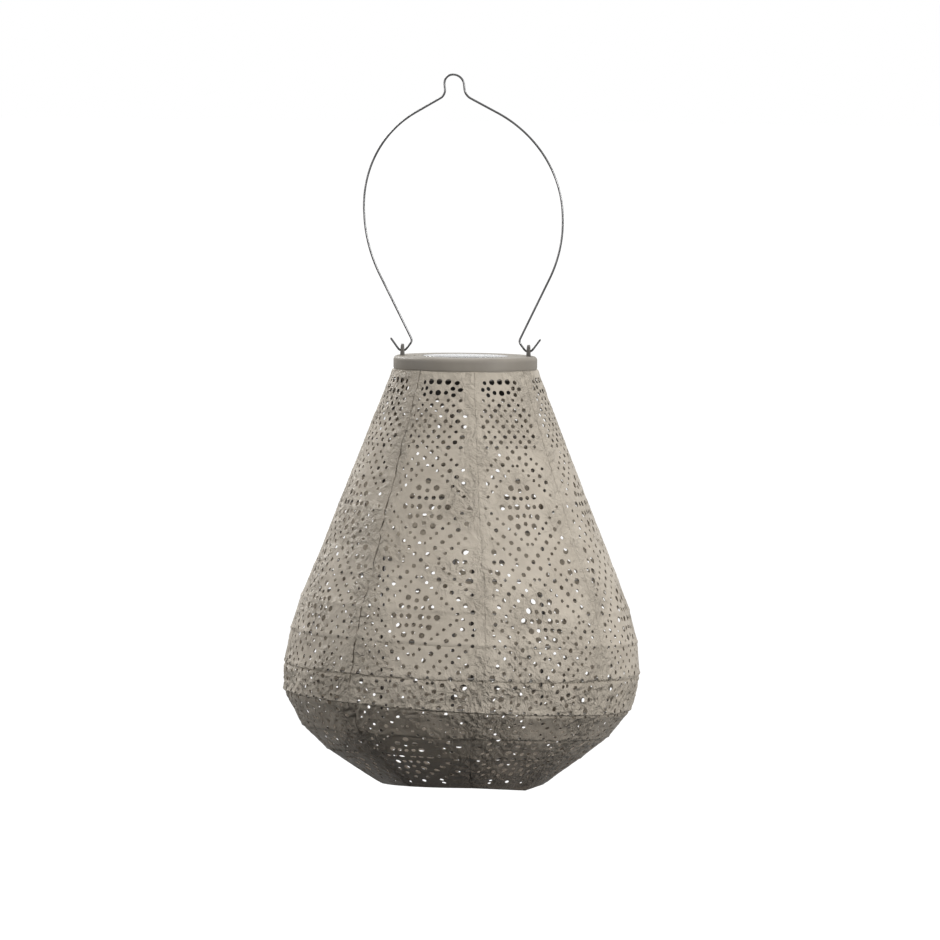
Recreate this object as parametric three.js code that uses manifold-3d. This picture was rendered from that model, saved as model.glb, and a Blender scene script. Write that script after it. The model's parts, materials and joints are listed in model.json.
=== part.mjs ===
// Solar hanging lantern: a gored fabric shade on wire hoops, a collar with a solar light unit that
// lifts out, and a bent wire handle. Millimetres, +Z up, the lantern stands on z = 0, -Y is the front.
import * as THREE from 'three';
import { mergeVertices } from 'three/addons/utils/BufferGeometryUtils.js';
import Module from 'manifold-3d';

const wasm = await Module();
wasm.setup();

const degree = Math.PI / 180;
const gap = 0.3; // clearance between pieces that touch or run in each other
const joinDepth = 0.05; // how far a shape reaches into the one that it is joined to
const cutOver = 1; // how far a cutting shape reaches past the face that it cuts

// Shade: outline of the fabric, from the foot to the neck
const goreCount = 8;
const goreFacets = 4;
const seamTurn = 7 * degree;
const hoopCount = 14;
const secondHoopHeight = 16.3;
const thirdHoopHeight = 29.3; // from here the hoops stand evenly up to the neck
const hoopWire = 1.4;
const fabricThickness = 0.4;
const footRadius = 47;
const bellyRadius = 100;
const bellyHeight = 60;
const shoulderRadius = 92.8;
const shoulderHeight = 102;
const neckRadius = 42.5;
const neckHeight = 230;
const topTuck = 4; // fabric above the neck hoop, up to the collar
const openingShare = 0.6; // width and height of an opening in the fabric, as a share of its facet's

// Uprights that hold the shade open
const uprightCount = 4;
const uprightWire = 2;
const uprightBendHeight = 190;
const uprightBendRadius = 14;
const uprightTopStraight = 12;

// Collar
const collarHeight = 7;
const collarLip = 0.4; // how far the band stands out past the skirt
const collarCorner = 2.2;
const collarWall = 2.2;
const collarPlate = 2;
const collarSkirt = 5.5;
const collarHoleRadius = 29;
const ledgeWidth = 2.6;
const ledgeThickness = 1.8;
const ledgeRoot = 2;

// Lugs
const lugSpacing = 35.6; // from the middle to each eye
const lugHeight = 6.5;
const lugWidth = 6;
const lugThickness = 2.6;
const lugTipThickness = 1.9;
const eyeRadius = 1.7;
const eyeHeight = 2.1;
const rivetRadius = 1.2;

// Handle: one wire, hooked into both eyes
const handleWire = 1.2;
const hookRadius = 3;
const hookSpread = 36 * degree;
const hookInnerReach = 5.6;
const hookOuterReach = 6.4;
const hookBendRadius = 3;
const bowHalfWidth = 56;
const bowLowerCorner = 58.5;
const bowLowerRadius = 80;
const bowUpperCorner = 116.3;
const bowUpperRadius = 64;
const bowRoofPitch = 29 * degree;
const crownRadius = 5.5;
const crownFootRadius = 6;
const crownTop = 156;
const bowLean = 0.054; // sideways spring of the wire per millimetre of height

// Light unit
const lidFloor = 1;
const cellThickness = 0.4;
const cellSide = 33;
const windowThickness = 0.8;
const windowRadius = 24;
const gasketThickness = 1;
const housingDepth = 18;
const housingWall = 1.2;
const housingFloor = 1.8;

// Screws of the light unit
const screwShank = 1;
const screwHead = 1.9;
const screwHeadHeight = 1.2;
const screwHeadEdge = 0.4;
const screwTipRoom = 1.2; // bore left free past a screw's tip
const screwColumn = 2.7;
const screwPeg = 2.4;
const counterboreDepth = 3;
const lidScrewCircle = 21.6;
const lidScrewCount = 3;
const lidColumnHeight = 9;
const lidScrewLength = 13;

// Battery, its contacts and its door
const batteryRadius = 5.25;
const batteryLength = 30;
const batteryOffset = 12;
const batteryButton = 1.6;
const batteryButtonLength = 0.8;
const contactThickness = 0.5;
const contactSide = 8;
const contactSpring = 2.2;
const contactSpringTip = 1.3;
const contactSpringLength = 1.6;
const doorMargin = 0.45; // door edge beyond the battery's plan
const doorEarX = 11.5;
const doorEarRadius = 3;
const doorEarThickness = 0.9;
const doorBossHeight = 7;

// Circuit board, LED, reflector and switch
const boardWidth = 30;
const boardDepth = 19;
const boardY = -4;
const boardThickness = 1.2;
const boardHeight = 9.8; // underside above the housing's outer floor
const postX = 12;
const postY = -10;
const postRadius = 1.8;
const ledRadius = 2.5;
const ledFlange = 2.9;
const ledFlangeThickness = 1;
const ledRecess = 0.3;
const reflectorRadius = 5.5;
const reflectorWall = 0.6;
const reflectorFlange = 7;
const reflectorHeight = 7;
const switchY = -10.5;
const switchTravel = 2.6;
const knobLength = 3.2;
const knobWidth = 2.3;
const knobReach = 1;
const sliderLength = 8.5;
const sliderWidth = 4;
const sliderThickness = 0.8;
const switchLength = 9;
const switchWidth = 4.4;

// Colours as they appear in daylight
const finishes = {
  fabric: { color: 0xaaa294, roughness: 0.72, metalness: 0 },
  hoop: { color: 0x8a877f, roughness: 0.4, metalness: 0.9 },
  upright: { color: 0x4a4844, roughness: 0.45, metalness: 0.8 },
  collar: { color: 0x938b80, roughness: 0.42, metalness: 0.15 },
  lug: { color: 0x6f6b66, roughness: 0.4, metalness: 0.85 },
  handle: { color: 0xa5a5a5, roughness: 0.18, metalness: 1 },
  window: { color: 0xd8d4d6, roughness: 0.08, metalness: 0 },
  cell: { color: 0x1b2233, roughness: 0.25, metalness: 0.2 },
  housing: { color: 0x2a2927, roughness: 0.6, metalness: 0 },
  gasket: { color: 0x1c1c1c, roughness: 0.85, metalness: 0 },
  screw: { color: 0xb4b3ae, roughness: 0.3, metalness: 1 },
  battery: { color: 0x3f7a4d, roughness: 0.4, metalness: 0.1 },
  contact: { color: 0xc4c0b4, roughness: 0.3, metalness: 1 },
  board: { color: 0x1f5a33, roughness: 0.5, metalness: 0 },
  led: { color: 0xf2ecd2, roughness: 0.15, metalness: 0 },
  reflector: { color: 0xe6e6e2, roughness: 0.2, metalness: 0.3 },
  switch: { color: 0x9a9a96, roughness: 0.4, metalness: 0.8 },
  slider: { color: 0x141414, roughness: 0.5, metalness: 0 },
};

// Facets around round pieces
const shadeFacets = goreCount * goreFacets;
const collarFacets = 40;
const unitFacets = 24;
const smallFacets = 12;
const hoopSides = 6;
const footSides = 8;
const wireSides = 6;
const meridianSteps = 60;
const bendSteps = 4;
const leastStep = 0.06; // a wire's points closer than this are one

const group = new THREE.Group();

function add(name, geometry, finish, parent = group) {
  const mesh = new THREE.Mesh(geometry, new THREE.MeshStandardMaterial(finish));
  mesh.name = name;
  parent.add(mesh);
}

// Solid of revolution about Z: the profile runs up its outer side, as [radius, height] pairs
function lathe(profile, facets) {
  const points = profile.map(([radius, height]) => new THREE.Vector2(radius, height));
  return new THREE.LatheGeometry(points, facets).rotateX(Math.PI / 2);
}

function disc(radius, bottom, top, facets) {
  return lathe([[0, bottom], [radius, bottom], [radius, top], [0, top]], facets);
}

function block(width, depth, bottom, top) {
  const height = top - bottom;
  return new THREE.BoxGeometry(width, depth, height).translate(0, 0, bottom + height / 2);
}

// Closed geometry to a solid that can be cut and joined, without the collapsed triangles on the axis
function solidOf(geometry) {
  const bare = geometry.clone();
  bare.deleteAttribute('normal');
  bare.deleteAttribute('uv');
  const merged = mergeVertices(bare);
  const index = Array.from(merged.index.array);
  const kept = [];
  for (let i = 0; i < index.length; i += 3) {
    const [a, b, c] = index.slice(i, i + 3);
    if (a !== b && b !== c && c !== a) kept.push(a, b, c);
  }
  return new wasm.Manifold(new wasm.Mesh({
    numProp: 3,
    vertProperties: new Float32Array(merged.attributes.position.array),
    triVerts: new Uint32Array(kept),
  }));
}

function geometryOf(solid) {
  const mesh = solid.getMesh();
  const geometry = new THREE.BufferGeometry();
  geometry.setAttribute('position', new THREE.BufferAttribute(mesh.vertProperties, 3));
  geometry.setIndex(new THREE.BufferAttribute(mesh.triVerts, 1));
  geometry.computeVertexNormals();
  return geometry;
}

function carve(base, { joins = [], cuts = [] }) {
  let solid = solidOf(base);
  for (const join of joins) solid = solid.add(solidOf(join));
  for (const cut of cuts) solid = solid.subtract(solidOf(cut));
  return geometryOf(solid);
}

// Outline moved by a distance to its left, walking from the first point to the last
function offsetOutline(points, distance) {
  return points.map((point, i) => {
    const before = points[Math.max(i - 1, 0)];
    const after = points[Math.min(i + 1, points.length - 1)];
    const inward = i > 0 ? point.clone().sub(before).normalize() : null;
    const outward = i < points.length - 1 ? after.clone().sub(point).normalize() : null;
    const first = inward ?? outward;
    const second = outward ?? inward;
    const along = first.clone().add(second).normalize();
    const stretch = 1 / along.dot(first);
    const left = new THREE.Vector2(-along.y, along.x);
    return point.clone().addScaledVector(left, distance * stretch);
  });
}

// Route of straight runs with an arc of its own radius at each inner corner
function roundedRoute(corners) {
  const route = new THREE.Path();
  route.moveTo(corners[0].x, corners[0].y);
  for (let i = 1; i < corners.length - 1; i += 1) {
    const corner = new THREE.Vector2(corners[i].x, corners[i].y);
    const before = new THREE.Vector2(corners[i - 1].x, corners[i - 1].y).sub(corner).normalize();
    const after = new THREE.Vector2(corners[i + 1].x, corners[i + 1].y).sub(corner).normalize();
    const half = Math.acos(before.dot(after)) / 2;
    const start = corner.clone().addScaledVector(before, corners[i].radius / Math.tan(half));
    const end = corner.clone().addScaledVector(after, corners[i].radius / Math.tan(half));
    const middle = before.clone().add(after).normalize();
    const centre = corner.clone().addScaledVector(middle, corners[i].radius / Math.sin(half));
    const startAngle = start.clone().sub(centre).angle();
    const endAngle = end.clone().sub(centre).angle();
    route.lineTo(start.x, start.y);
    route.absarc(centre.x, centre.y, corners[i].radius, startAngle, endAngle, before.cross(after) > 0);
  }
  const last = corners[corners.length - 1];
  route.lineTo(last.x, last.y);
  return route.getPoints(bendSteps);
}

// Round wire along points in a plane that holds Z: x runs along the plane, y is the height
function bentWire(route, radius, sides) {
  const points = route.filter((point, i) => i === 0 || point.distanceTo(route[i - 1]) > leastStep);
  const across = offsetOutline(points, radius);
  const positions = [];
  points.forEach((point, i) => {
    const sideways = across[i].clone().sub(point);
    for (let s = 0; s < sides; s += 1) {
      const turn = (s + 0.5) * 2 * Math.PI / sides;
      const x = point.x + sideways.x * Math.cos(turn);
      const z = point.y + sideways.y * Math.cos(turn);
      positions.push(x, radius * Math.sin(turn), z);
    }
  });
  const faces = [];
  for (let i = 0; i < points.length - 1; i += 1) {
    for (let s = 0; s < sides; s += 1) {
      const a = i * sides + s;
      const b = i * sides + (s + 1) % sides;
      faces.push(a, a + sides, b, b, a + sides, b + sides);
    }
  }
  const end = (points.length - 1) * sides;
  for (let s = 1; s < sides - 1; s += 1) {
    faces.push(0, s, s + 1, end, end + s + 1, end + s);
  }
  const geometry = new THREE.BufferGeometry();
  geometry.setAttribute('position', new THREE.Float32BufferAttribute(positions, 3));
  geometry.setIndex(faces);
  geometry.computeVertexNormals();
  return geometry;
}

// Height of the fabric over each hoop, from the foot up
function hoopHeights() {
  return Array.from({ length: hoopCount }, (_, i) => {
    if (i === 0) return 0;
    if (i === 1) return secondHoopHeight;
    return THREE.MathUtils.lerp(thirdHoopHeight, neckHeight, (i - 2) / (hoopCount - 3));
  });
}

// Fabric outline at the hoops: from the foot out to the belly, then straight up to the neck
function shadeOutline() {
  const taper = (shoulderRadius - neckRadius) / (neckHeight - shoulderHeight);
  const crestHeight = shoulderHeight - (bellyRadius - shoulderRadius) / taper;
  const meridian = new THREE.Path();
  meridian.moveTo(footRadius, 0);
  meridian.quadraticCurveTo(bellyRadius, bellyHeight / 2, bellyRadius, bellyHeight);
  meridian.quadraticCurveTo(bellyRadius, crestHeight, shoulderRadius, shoulderHeight);
  meridian.lineTo(neckRadius, neckHeight);
  const curve = meridian.getPoints(meridianSteps);
  const lift = new THREE.Vector2(0, hoopWire / 2);
  return hoopHeights().map((height) => {
    const next = Math.max(1, curve.findIndex((point) => point.y >= height));
    const below = curve[next - 1];
    const above = curve[next];
    const share = (height - below.y) / (above.y - below.y);
    return below.clone().lerp(above, share).add(lift);
  });
}

const outline = shadeOutline();
const hoopInset = fabricThickness + gap + hoopWire / 2;
const hoopCentres = offsetOutline(outline, hoopInset);
hoopCentres[0].set(footRadius - hoopInset, hoopWire / 2);
const neckHoop = hoopCentres[hoopCount - 1];
const footHoop = hoopCentres[0];

const skirtRadius = neckHoop.x - hoopWire / 2 - gap;
const collarRadius = skirtRadius + collarLip;
const topEdge = new THREE.Vector2(skirtRadius + gap + fabricThickness, outline[hoopCount - 1].y + topTuck);
const collarBase = topEdge.y + gap;
const collarTop = collarBase + collarHeight;

const lidRadius = collarHoleRadius - gap;
const lidThickness = lidFloor + gap + cellThickness + gap + windowThickness;
const ledgeTop = collarTop - lidThickness - gap;
const ledgeRadius = collarHoleRadius - ledgeWidth;
const housingRadius = ledgeRadius - gap;
const unitBase = collarTop - lidThickness - gap - gasketThickness - gap - housingDepth;

// The punched fabric as a plain grid of lozenge openings, one in every other facet between the hoops
function isOpen(row, column) {
  return row < hoopCount - 1 && (row + column) % 2 === 1;
}

// Corners of the opening in a facet, each facing the middle of one of the facet's sides
function openingCorners(facet) {
  const middle = new THREE.Vector3();
  for (const corner of facet) middle.addScaledVector(corner, 1 / facet.length);
  return facet.map((corner, i) => {
    const next = facet[(i + 1) % facet.length];
    const side = corner.clone().lerp(next, 0.5);
    return middle.clone().lerp(side, openingShare);
  });
}

// One gore of fabric between two seams, a closed thin shell with a facet between each two hoops
function shadePanel(seam) {
  const outer = [...outline, topEdge];
  const inner = offsetOutline(outer, fabricThickness);
  const columns = goreFacets + 1;
  const points = [];
  for (const skin of [outer, inner]) {
    for (const point of skin) {
      const inset = Math.asin(gap / 2 / point.x);
      for (let c = 0; c < columns; c += 1) {
        let turn = seam + (2 * Math.PI / goreCount) * (c / goreFacets);
        if (c === 0) turn += inset;
        if (c === goreFacets) turn -= inset;
        points.push(new THREE.Vector3(point.x * Math.cos(turn), point.x * Math.sin(turn), point.y));
      }
    }
  }
  const rows = outer.length;
  const inside = rows * columns;
  const faces = [];
  const quad = (a, b, c, d) => faces.push(a, b, c, a, c, d);

  // Faces of one skin round an opening; returns the opening's corners
  const openFacet = (facet) => {
    const first = points.length;
    points.push(...openingCorners(facet.map((corner) => points[corner])));
    const opening = facet.map((corner, i) => first + i);
    facet.forEach((corner, i) => {
      const next = (i + 1) % facet.length;
      faces.push(corner, facet[next], opening[i], facet[next], opening[next], opening[i]);
    });
    return opening;
  };

  for (let r = 0; r < rows - 1; r += 1) {
    for (let c = 0; c < goreFacets; c += 1) {
      const a = r * columns + c;
      const front = [a, a + 1, a + columns + 1, a + columns];
      const back = [a, a + columns, a + columns + 1, a + 1].map((corner) => inside + corner);
      if (isOpen(r, c)) {
        const near = openFacet(front);
        const far = openFacet(back).reverse();
        near.forEach((corner, i) => {
          const next = (i + 1) % near.length;
          quad(corner, near[next], far[next], far[i]);
        });
      } else {
        quad(...front);
        quad(...back);
      }
    }
    const left = r * columns;
    const right = left + goreFacets;
    quad(left, left + columns, inside + left + columns, inside + left);
    quad(right, inside + right, inside + right + columns, right + columns);
  }
  const top = (rows - 1) * columns;
  for (let c = 0; c < goreFacets; c += 1) {
    quad(c, inside + c, inside + c + 1, c + 1);
    quad(top + c, top + c + 1, inside + top + c + 1, inside + top + c);
  }
  const geometry = new THREE.BufferGeometry().setFromPoints(points);
  geometry.setIndex(faces);
  geometry.computeVertexNormals();
  return geometry;
}

// Wire ring with a flat side of its section facing down, turned so that its facets follow the fabric's
function wireHoop(centre, sides) {
  const section = [];
  for (let s = 0; s <= sides; s += 1) {
    const turn = ((s % sides) + 0.5) * 2 * Math.PI / sides - Math.PI / 2;
    const x = centre.x + hoopWire / 2 * Math.cos(turn) / Math.cos(Math.PI / sides);
    const z = centre.y + hoopWire / 2 * Math.sin(turn) / Math.cos(Math.PI / sides);
    section.push([x, z]);
  }
  return lathe(section, shadeFacets).rotateZ(seamTurn);
}

function buildShade() {
  for (let i = 0; i < goreCount; i += 1) {
    add(`shade_panel_${i + 1}`, shadePanel(seamTurn + i * 2 * Math.PI / goreCount), finishes.fabric);
  }
  hoopCentres.forEach((centre, i) => {
    const sides = i === 0 ? footSides : hoopSides;
    add(`hoop_${String(i + 1).padStart(2, '0')}`, wireHoop(centre, sides), finishes.hoop);
  });
}

// Each upright stands on the foot hoop and ends inside the collar's skirt
function buildUprights() {
  const topRadius = skirtRadius - collarWall - gap - uprightWire / 2;
  const top = collarTop - collarPlate - gap;
  const route = roundedRoute([
    { x: footHoop.x, y: hoopWire + gap },
    { x: footHoop.x, y: uprightBendHeight, radius: uprightBendRadius },
    { x: topRadius, y: top - uprightTopStraight, radius: uprightBendRadius },
    { x: topRadius, y: top },
  ]);
  for (let i = 0; i < uprightCount; i += 1) {
    const wire = bentWire(route, uprightWire / 2, wireSides);
    const turn = seamTurn + i * 2 * Math.PI / uprightCount;
    add(`upright_${i + 1}`, wire.rotateZ(turn), finishes.upright);
  }
}

function collarRing() {
  const corner = [];
  for (let i = 0; i <= bendSteps; i += 1) {
    const turn = i / bendSteps * Math.PI / 2;
    corner.push([
      collarRadius - collarCorner + collarCorner * Math.cos(turn),
      collarTop - collarCorner + collarCorner * Math.sin(turn),
    ]);
  }
  const skirtInside = skirtRadius - collarWall;
  const plateUnderside = collarTop - collarPlate;
  return lathe([
    [skirtInside, collarBase - collarSkirt],
    [skirtRadius, collarBase - collarSkirt],
    [skirtRadius, collarBase],
    [collarRadius, collarBase],
    ...corner,
    [collarHoleRadius, collarTop],
    [collarHoleRadius, ledgeTop],
    [ledgeRadius, ledgeTop],
    [ledgeRadius, ledgeTop - ledgeThickness],
    [collarHoleRadius + ledgeRoot, ledgeTop - ledgeThickness],
    [collarHoleRadius + ledgeRoot, plateUnderside],
    [skirtInside, plateUnderside],
    [skirtInside, collarBase - collarSkirt],
  ], collarFacets);
}

function buildCollar() {
  const holes = [-1, 1].map((side) => disc(
    rivetRadius + gap, collarTop - collarPlate - cutOver, collarTop + cutOver, smallFacets,
  ).translate(side * lugSpacing, 0, 0));
  add('collar', carve(collarRing(), { cuts: holes }), finishes.collar);
}

// Flat lug with a round top and an eye along X, thinner at its tip, on a rivet through the collar
function lug() {
  const face = new THREE.Shape();
  const half = lugWidth / 2;
  face.moveTo(-half, 0);
  face.lineTo(half, 0);
  face.lineTo(half, lugHeight - half);
  face.absarc(0, lugHeight - half, half, 0, Math.PI, false);
  face.closePath();
  const plate = new THREE.ExtrudeGeometry(face, {
    depth: lugThickness, bevelEnabled: false, curveSegments: smallFacets / 2,
  });
  plate.rotateX(Math.PI / 2).rotateZ(Math.PI / 2).translate(-lugThickness / 2, 0, 0);
  const taper = (lugThickness - lugTipThickness) / 2;
  const places = plate.attributes.position;
  for (let i = 0; i < places.count; i += 1) {
    const rise = places.getZ(i) / lugHeight;
    places.setX(i, places.getX(i) * (1 - 2 * taper * rise / lugThickness));
  }
  const eye = new THREE.CylinderGeometry(eyeRadius, eyeRadius, lugThickness + 2 * cutOver, smallFacets);
  eye.rotateZ(Math.PI / 2).translate(0, 0, eyeHeight);
  const rivet = disc(rivetRadius, -collarPlate, joinDepth, smallFacets);
  return carve(plate, { joins: [rivet], cuts: [eye] });
}

function buildLugs() {
  add('lug_left', lug().translate(-lugSpacing, 0, collarTop), finishes.lug);
  add('lug_right', lug().translate(lugSpacing, 0, collarTop), finishes.lug);
}

// The wire hangs in the top of the eye; its hook climbs by hookRise within the lug's thickness
const hookRise = hookRadius - Math.sqrt(hookRadius ** 2 - (lugThickness / 2) ** 2);
const hingeHeight = collarTop + eyeHeight + eyeRadius - handleWire / 2 - hookRise - gap;

function handleCorners() {
  const dip = hookRadius * (1 / Math.sin(hookSpread) - 1);
  const rise = (reach) => reach / Math.tan(hookSpread) - dip;
  const roofTop = bowUpperCorner + (bowHalfWidth - crownRadius) * Math.tan(bowRoofPitch);
  return [
    { x: lugSpacing + hookOuterReach, y: rise(hookOuterReach) },
    { x: lugSpacing, y: -dip, radius: hookRadius },
    { x: lugSpacing - hookInnerReach, y: rise(hookInnerReach), radius: hookBendRadius },
    { x: bowHalfWidth, y: bowLowerCorner, radius: bowLowerRadius },
    { x: bowHalfWidth, y: bowUpperCorner, radius: bowUpperRadius },
    { x: crownRadius, y: roofTop, radius: crownFootRadius },
    { x: crownRadius, y: crownTop, radius: crownRadius },
  ];
}

function buildHandle() {
  const half = handleCorners();
  const mirrored = half.map((corner) => ({ ...corner, x: -corner.x })).reverse();
  const [, , bowFoot] = half;
  const route = roundedRoute([...half, ...mirrored]);
  for (const point of route) point.x -= bowLean * Math.max(0, point.y - bowFoot.y);
  const wire = bentWire(route, handleWire / 2, wireSides);
  add('handle', wire.translate(0, 0, hingeHeight), finishes.handle);
}

// Light unit, in its own frame: z = 0 is the housing's underside
const unit = new THREE.Group();
unit.position.z = unitBase;
group.add(unit);

const lidBase = collarTop - lidThickness - unitBase;
const gasketBase = housingDepth + gap;
const floorTop = housingFloor;
const doorHalfX = batteryLength / 2 + doorMargin;
const doorHalfY = batteryRadius + doorMargin;
const boardTop = boardHeight + boardThickness;
const doorBoreTop = floorTop + doorBossHeight - gap;
const doorEarY = batteryOffset - batteryRadius - gap - screwPeg;
const lidScrewPlaces = Array.from({ length: lidScrewCount }, (_, i) => {
  const turn = Math.PI / 2 + i * 2 * Math.PI / lidScrewCount;
  return [lidScrewCircle * Math.cos(turn), lidScrewCircle * Math.sin(turn)];
});

function addToUnit(name, geometry, finish) {
  add(name, geometry, finish, unit);
}

function solarLid() {
  const lid = disc(lidRadius, lidBase, lidBase + lidThickness, collarFacets);
  const pocket = disc(windowRadius + gap, lidBase + lidFloor, lidBase + lidThickness + cutOver, unitFacets);
  const columnTop = floorTop + lidColumnHeight;
  const pegs = lidScrewPlaces.map(([x, y]) => (
    disc(screwPeg, columnTop + gap, lidBase + joinDepth, smallFacets).translate(x, y, 0)));
  const pilotTop = counterboreDepth + lidScrewLength;
  const pilots = lidScrewPlaces.map(([x, y]) => (
    disc(screwShank + gap, columnTop, pilotTop, smallFacets).translate(x, y, 0)));
  return carve(lid, { joins: pegs, cuts: [pocket, ...pilots] });
}

function doorOutline(clearance) {
  const width = 2 * (doorHalfX + clearance);
  const depth = 2 * (doorHalfY + clearance);
  const plate = block(width, depth, -clearance, floorTop + clearance);
  const ear = disc(doorEarRadius + clearance, -clearance, doorEarThickness + clearance, smallFacets);
  return { plate: plate.translate(0, batteryOffset, 0), ear: ear.translate(doorEarX, doorEarY, 0) };
}

function lightHousing() {
  const cup = lathe([
    [0, 0],
    [housingRadius, 0],
    [housingRadius, housingDepth],
    [housingRadius - housingWall, housingDepth],
    [housingRadius - housingWall, floorTop],
    [0, floorTop],
  ], unitFacets);
  const columnTop = floorTop + lidColumnHeight;
  const columns = lidScrewPlaces.map(([x, y]) => (
    disc(screwColumn, floorTop - joinDepth, columnTop, smallFacets).translate(x, y, 0)));
  const bores = lidScrewPlaces.map(([x, y]) => (
    disc(screwShank + gap, -cutOver, columnTop + cutOver, smallFacets).translate(x, y, 0)));
  const counterbores = lidScrewPlaces.map(([x, y]) => (
    disc(screwHead + gap, -cutOver, counterboreDepth, smallFacets).translate(x, y, 0)));
  const posts = [-1, 1].map((side) => (
    disc(postRadius, floorTop - joinDepth, boardHeight - gap, smallFacets)
      .translate(side * postX, postY, 0)));
  const postBores = [-1, 1].map((side) => (
    disc(screwShank + gap, floorTop, boardHeight, smallFacets).translate(side * postX, postY, 0)));
  const doorBoss = disc(screwPeg, doorEarThickness + 2 * gap, floorTop + doorBossHeight, smallFacets)
    .translate(doorEarX, doorEarY, 0);
  const doorBore = disc(screwShank + gap, 0, doorBoreTop, smallFacets)
    .translate(doorEarX, doorEarY, 0);
  const lampHole = disc(reflectorRadius + gap, -cutOver, floorTop + cutOver, unitFacets);
  const slotLength = knobLength + switchTravel + 2 * gap;
  const slot = block(slotLength, knobWidth + 2 * gap, -cutOver, floorTop + cutOver)
    .translate(0, switchY, 0);
  const { plate, ear } = doorOutline(gap);
  return carve(cup, {
    joins: [...columns, ...posts, doorBoss],
    cuts: [...bores, ...counterbores, ...postBores, doorBore, lampHole, slot, plate, ear],
  });
}

function batteryDoor() {
  const { plate, ear } = doorOutline(0);
  const screwHole = disc(screwShank + gap, -cutOver, floorTop, smallFacets)
    .translate(doorEarX, doorEarY, 0);
  return carve(plate, { joins: [ear], cuts: [screwHole] });
}

// Pan-head screw, head down, standing on z = 0 with its shank upwards
function screw(length) {
  return lathe([
    [0, 0],
    [screwHead - screwHeadEdge, 0],
    [screwHead, screwHeadEdge],
    [screwHead, screwHeadHeight],
    [screwShank, screwHeadHeight],
    [screwShank, screwHeadHeight + length],
    [0, screwHeadHeight + length],
  ], smallFacets);
}

function buildLidAndHousing() {
  addToUnit('solar_lid', solarLid(), finishes.collar);
  const cellBase = lidBase + lidFloor + gap;
  addToUnit('solar_cell', block(cellSide, cellSide, cellBase, cellBase + cellThickness), finishes.cell);
  const windowBase = cellBase + cellThickness + gap;
  const window = disc(windowRadius, windowBase, windowBase + windowThickness, unitFacets);
  addToUnit('solar_window', window, finishes.window);
  addToUnit('lid_gasket', lathe([
    [housingRadius - housingWall, gasketBase],
    [housingRadius, gasketBase],
    [housingRadius, gasketBase + gasketThickness],
    [housingRadius - housingWall, gasketBase + gasketThickness],
    [housingRadius - housingWall, gasketBase],
  ], unitFacets), finishes.gasket);
  addToUnit('light_housing', lightHousing(), finishes.housing);
  const headBase = counterboreDepth - gap - screwHeadHeight;
  lidScrewPlaces.forEach(([x, y], i) => {
    addToUnit(`lid_screw_${i + 1}`, screw(lidScrewLength).translate(x, y, headBase), finishes.screw);
  });
}

function buildBattery() {
  const axisHeight = floorTop + gap + batteryRadius;
  const half = batteryLength / 2;
  const can = lathe([
    [0, -half],
    [batteryRadius, -half],
    [batteryRadius, half - batteryButtonLength],
    [batteryButton, half - batteryButtonLength],
    [batteryButton, half],
    [0, half],
  ], smallFacets);
  can.rotateY(Math.PI / 2).translate(0, batteryOffset, axisHeight);
  addToUnit('battery_cell', can, finishes.battery);

  const leafBase = floorTop + gap;
  const leaf = (x) => (
    block(contactThickness, contactSide, leafBase, leafBase + contactSide).translate(x, batteryOffset, 0));
  addToUnit('contact_positive', leaf(half + gap + contactThickness / 2), finishes.contact);
  const leafX = -half - gap - contactSpringLength - contactThickness / 2;
  const springX = leafX + (contactThickness + contactSpringLength) / 2 - joinDepth;
  const spring = new THREE.CylinderGeometry(
    contactSpringTip, contactSpring, contactSpringLength, smallFacets,
  ).rotateZ(-Math.PI / 2).translate(springX, batteryOffset, axisHeight);
  addToUnit('contact_negative', carve(leaf(leafX), { joins: [spring] }), finishes.contact);

  addToUnit('battery_door', batteryDoor(), finishes.housing);
  const doorScrew = screw(doorBoreTop - screwTipRoom + gap);
  addToUnit('door_screw', doorScrew.translate(doorEarX, doorEarY, -screwHeadHeight - gap), finishes.screw);
}

function buildLamp() {
  const board = block(boardWidth, boardDepth, boardHeight, boardTop).translate(0, boardY, 0);
  const holes = [-1, 1].map((side) => (
    disc(screwShank + gap, boardHeight - cutOver, boardTop + cutOver, smallFacets)
      .translate(side * postX, postY, 0)));
  addToUnit('circuit_board', carve(board, { cuts: holes }), finishes.board);
  for (const [name, side] of [['board_screw_left', -1], ['board_screw_right', 1]]) {
    const boardScrew = screw(boardTop + gap - floorTop - screwTipRoom).rotateX(Math.PI);
    boardScrew.translate(side * postX, postY, boardTop + gap + screwHeadHeight);
    addToUnit(name, boardScrew, finishes.screw);
  }

  const ledTop = boardHeight - gap;
  const dome = [];
  for (let i = 0; i <= bendSteps; i += 1) {
    const turn = -Math.PI / 2 + i / bendSteps * Math.PI / 2;
    const radius = i === 0 ? 0 : ledRadius * Math.cos(turn);
    dome.push([radius, ledRecess + ledRadius + ledRadius * Math.sin(turn)]);
  }
  addToUnit('led', lathe([
    ...dome,
    [ledRadius, ledTop - ledFlangeThickness],
    [ledFlange, ledTop - ledFlangeThickness],
    [ledFlange, ledTop],
    [0, ledTop],
  ], smallFacets), finishes.led);

  const throat = ledRadius + gap;
  const flangeBase = floorTop + gap;
  const taper = (reflectorRadius - throat - reflectorWall) / reflectorHeight;
  const slopeAt = (height) => reflectorRadius - taper * height;
  addToUnit('led_reflector', lathe([
    [reflectorRadius - reflectorWall, 0],
    [reflectorRadius, 0],
    [slopeAt(flangeBase), flangeBase],
    [reflectorFlange, flangeBase],
    [reflectorFlange, flangeBase + reflectorWall],
    [slopeAt(flangeBase + reflectorWall), flangeBase + reflectorWall],
    [throat + reflectorWall, reflectorHeight],
    [throat, reflectorHeight],
    [reflectorRadius - reflectorWall, 0],
  ], unitFacets), finishes.reflector);
}

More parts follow.
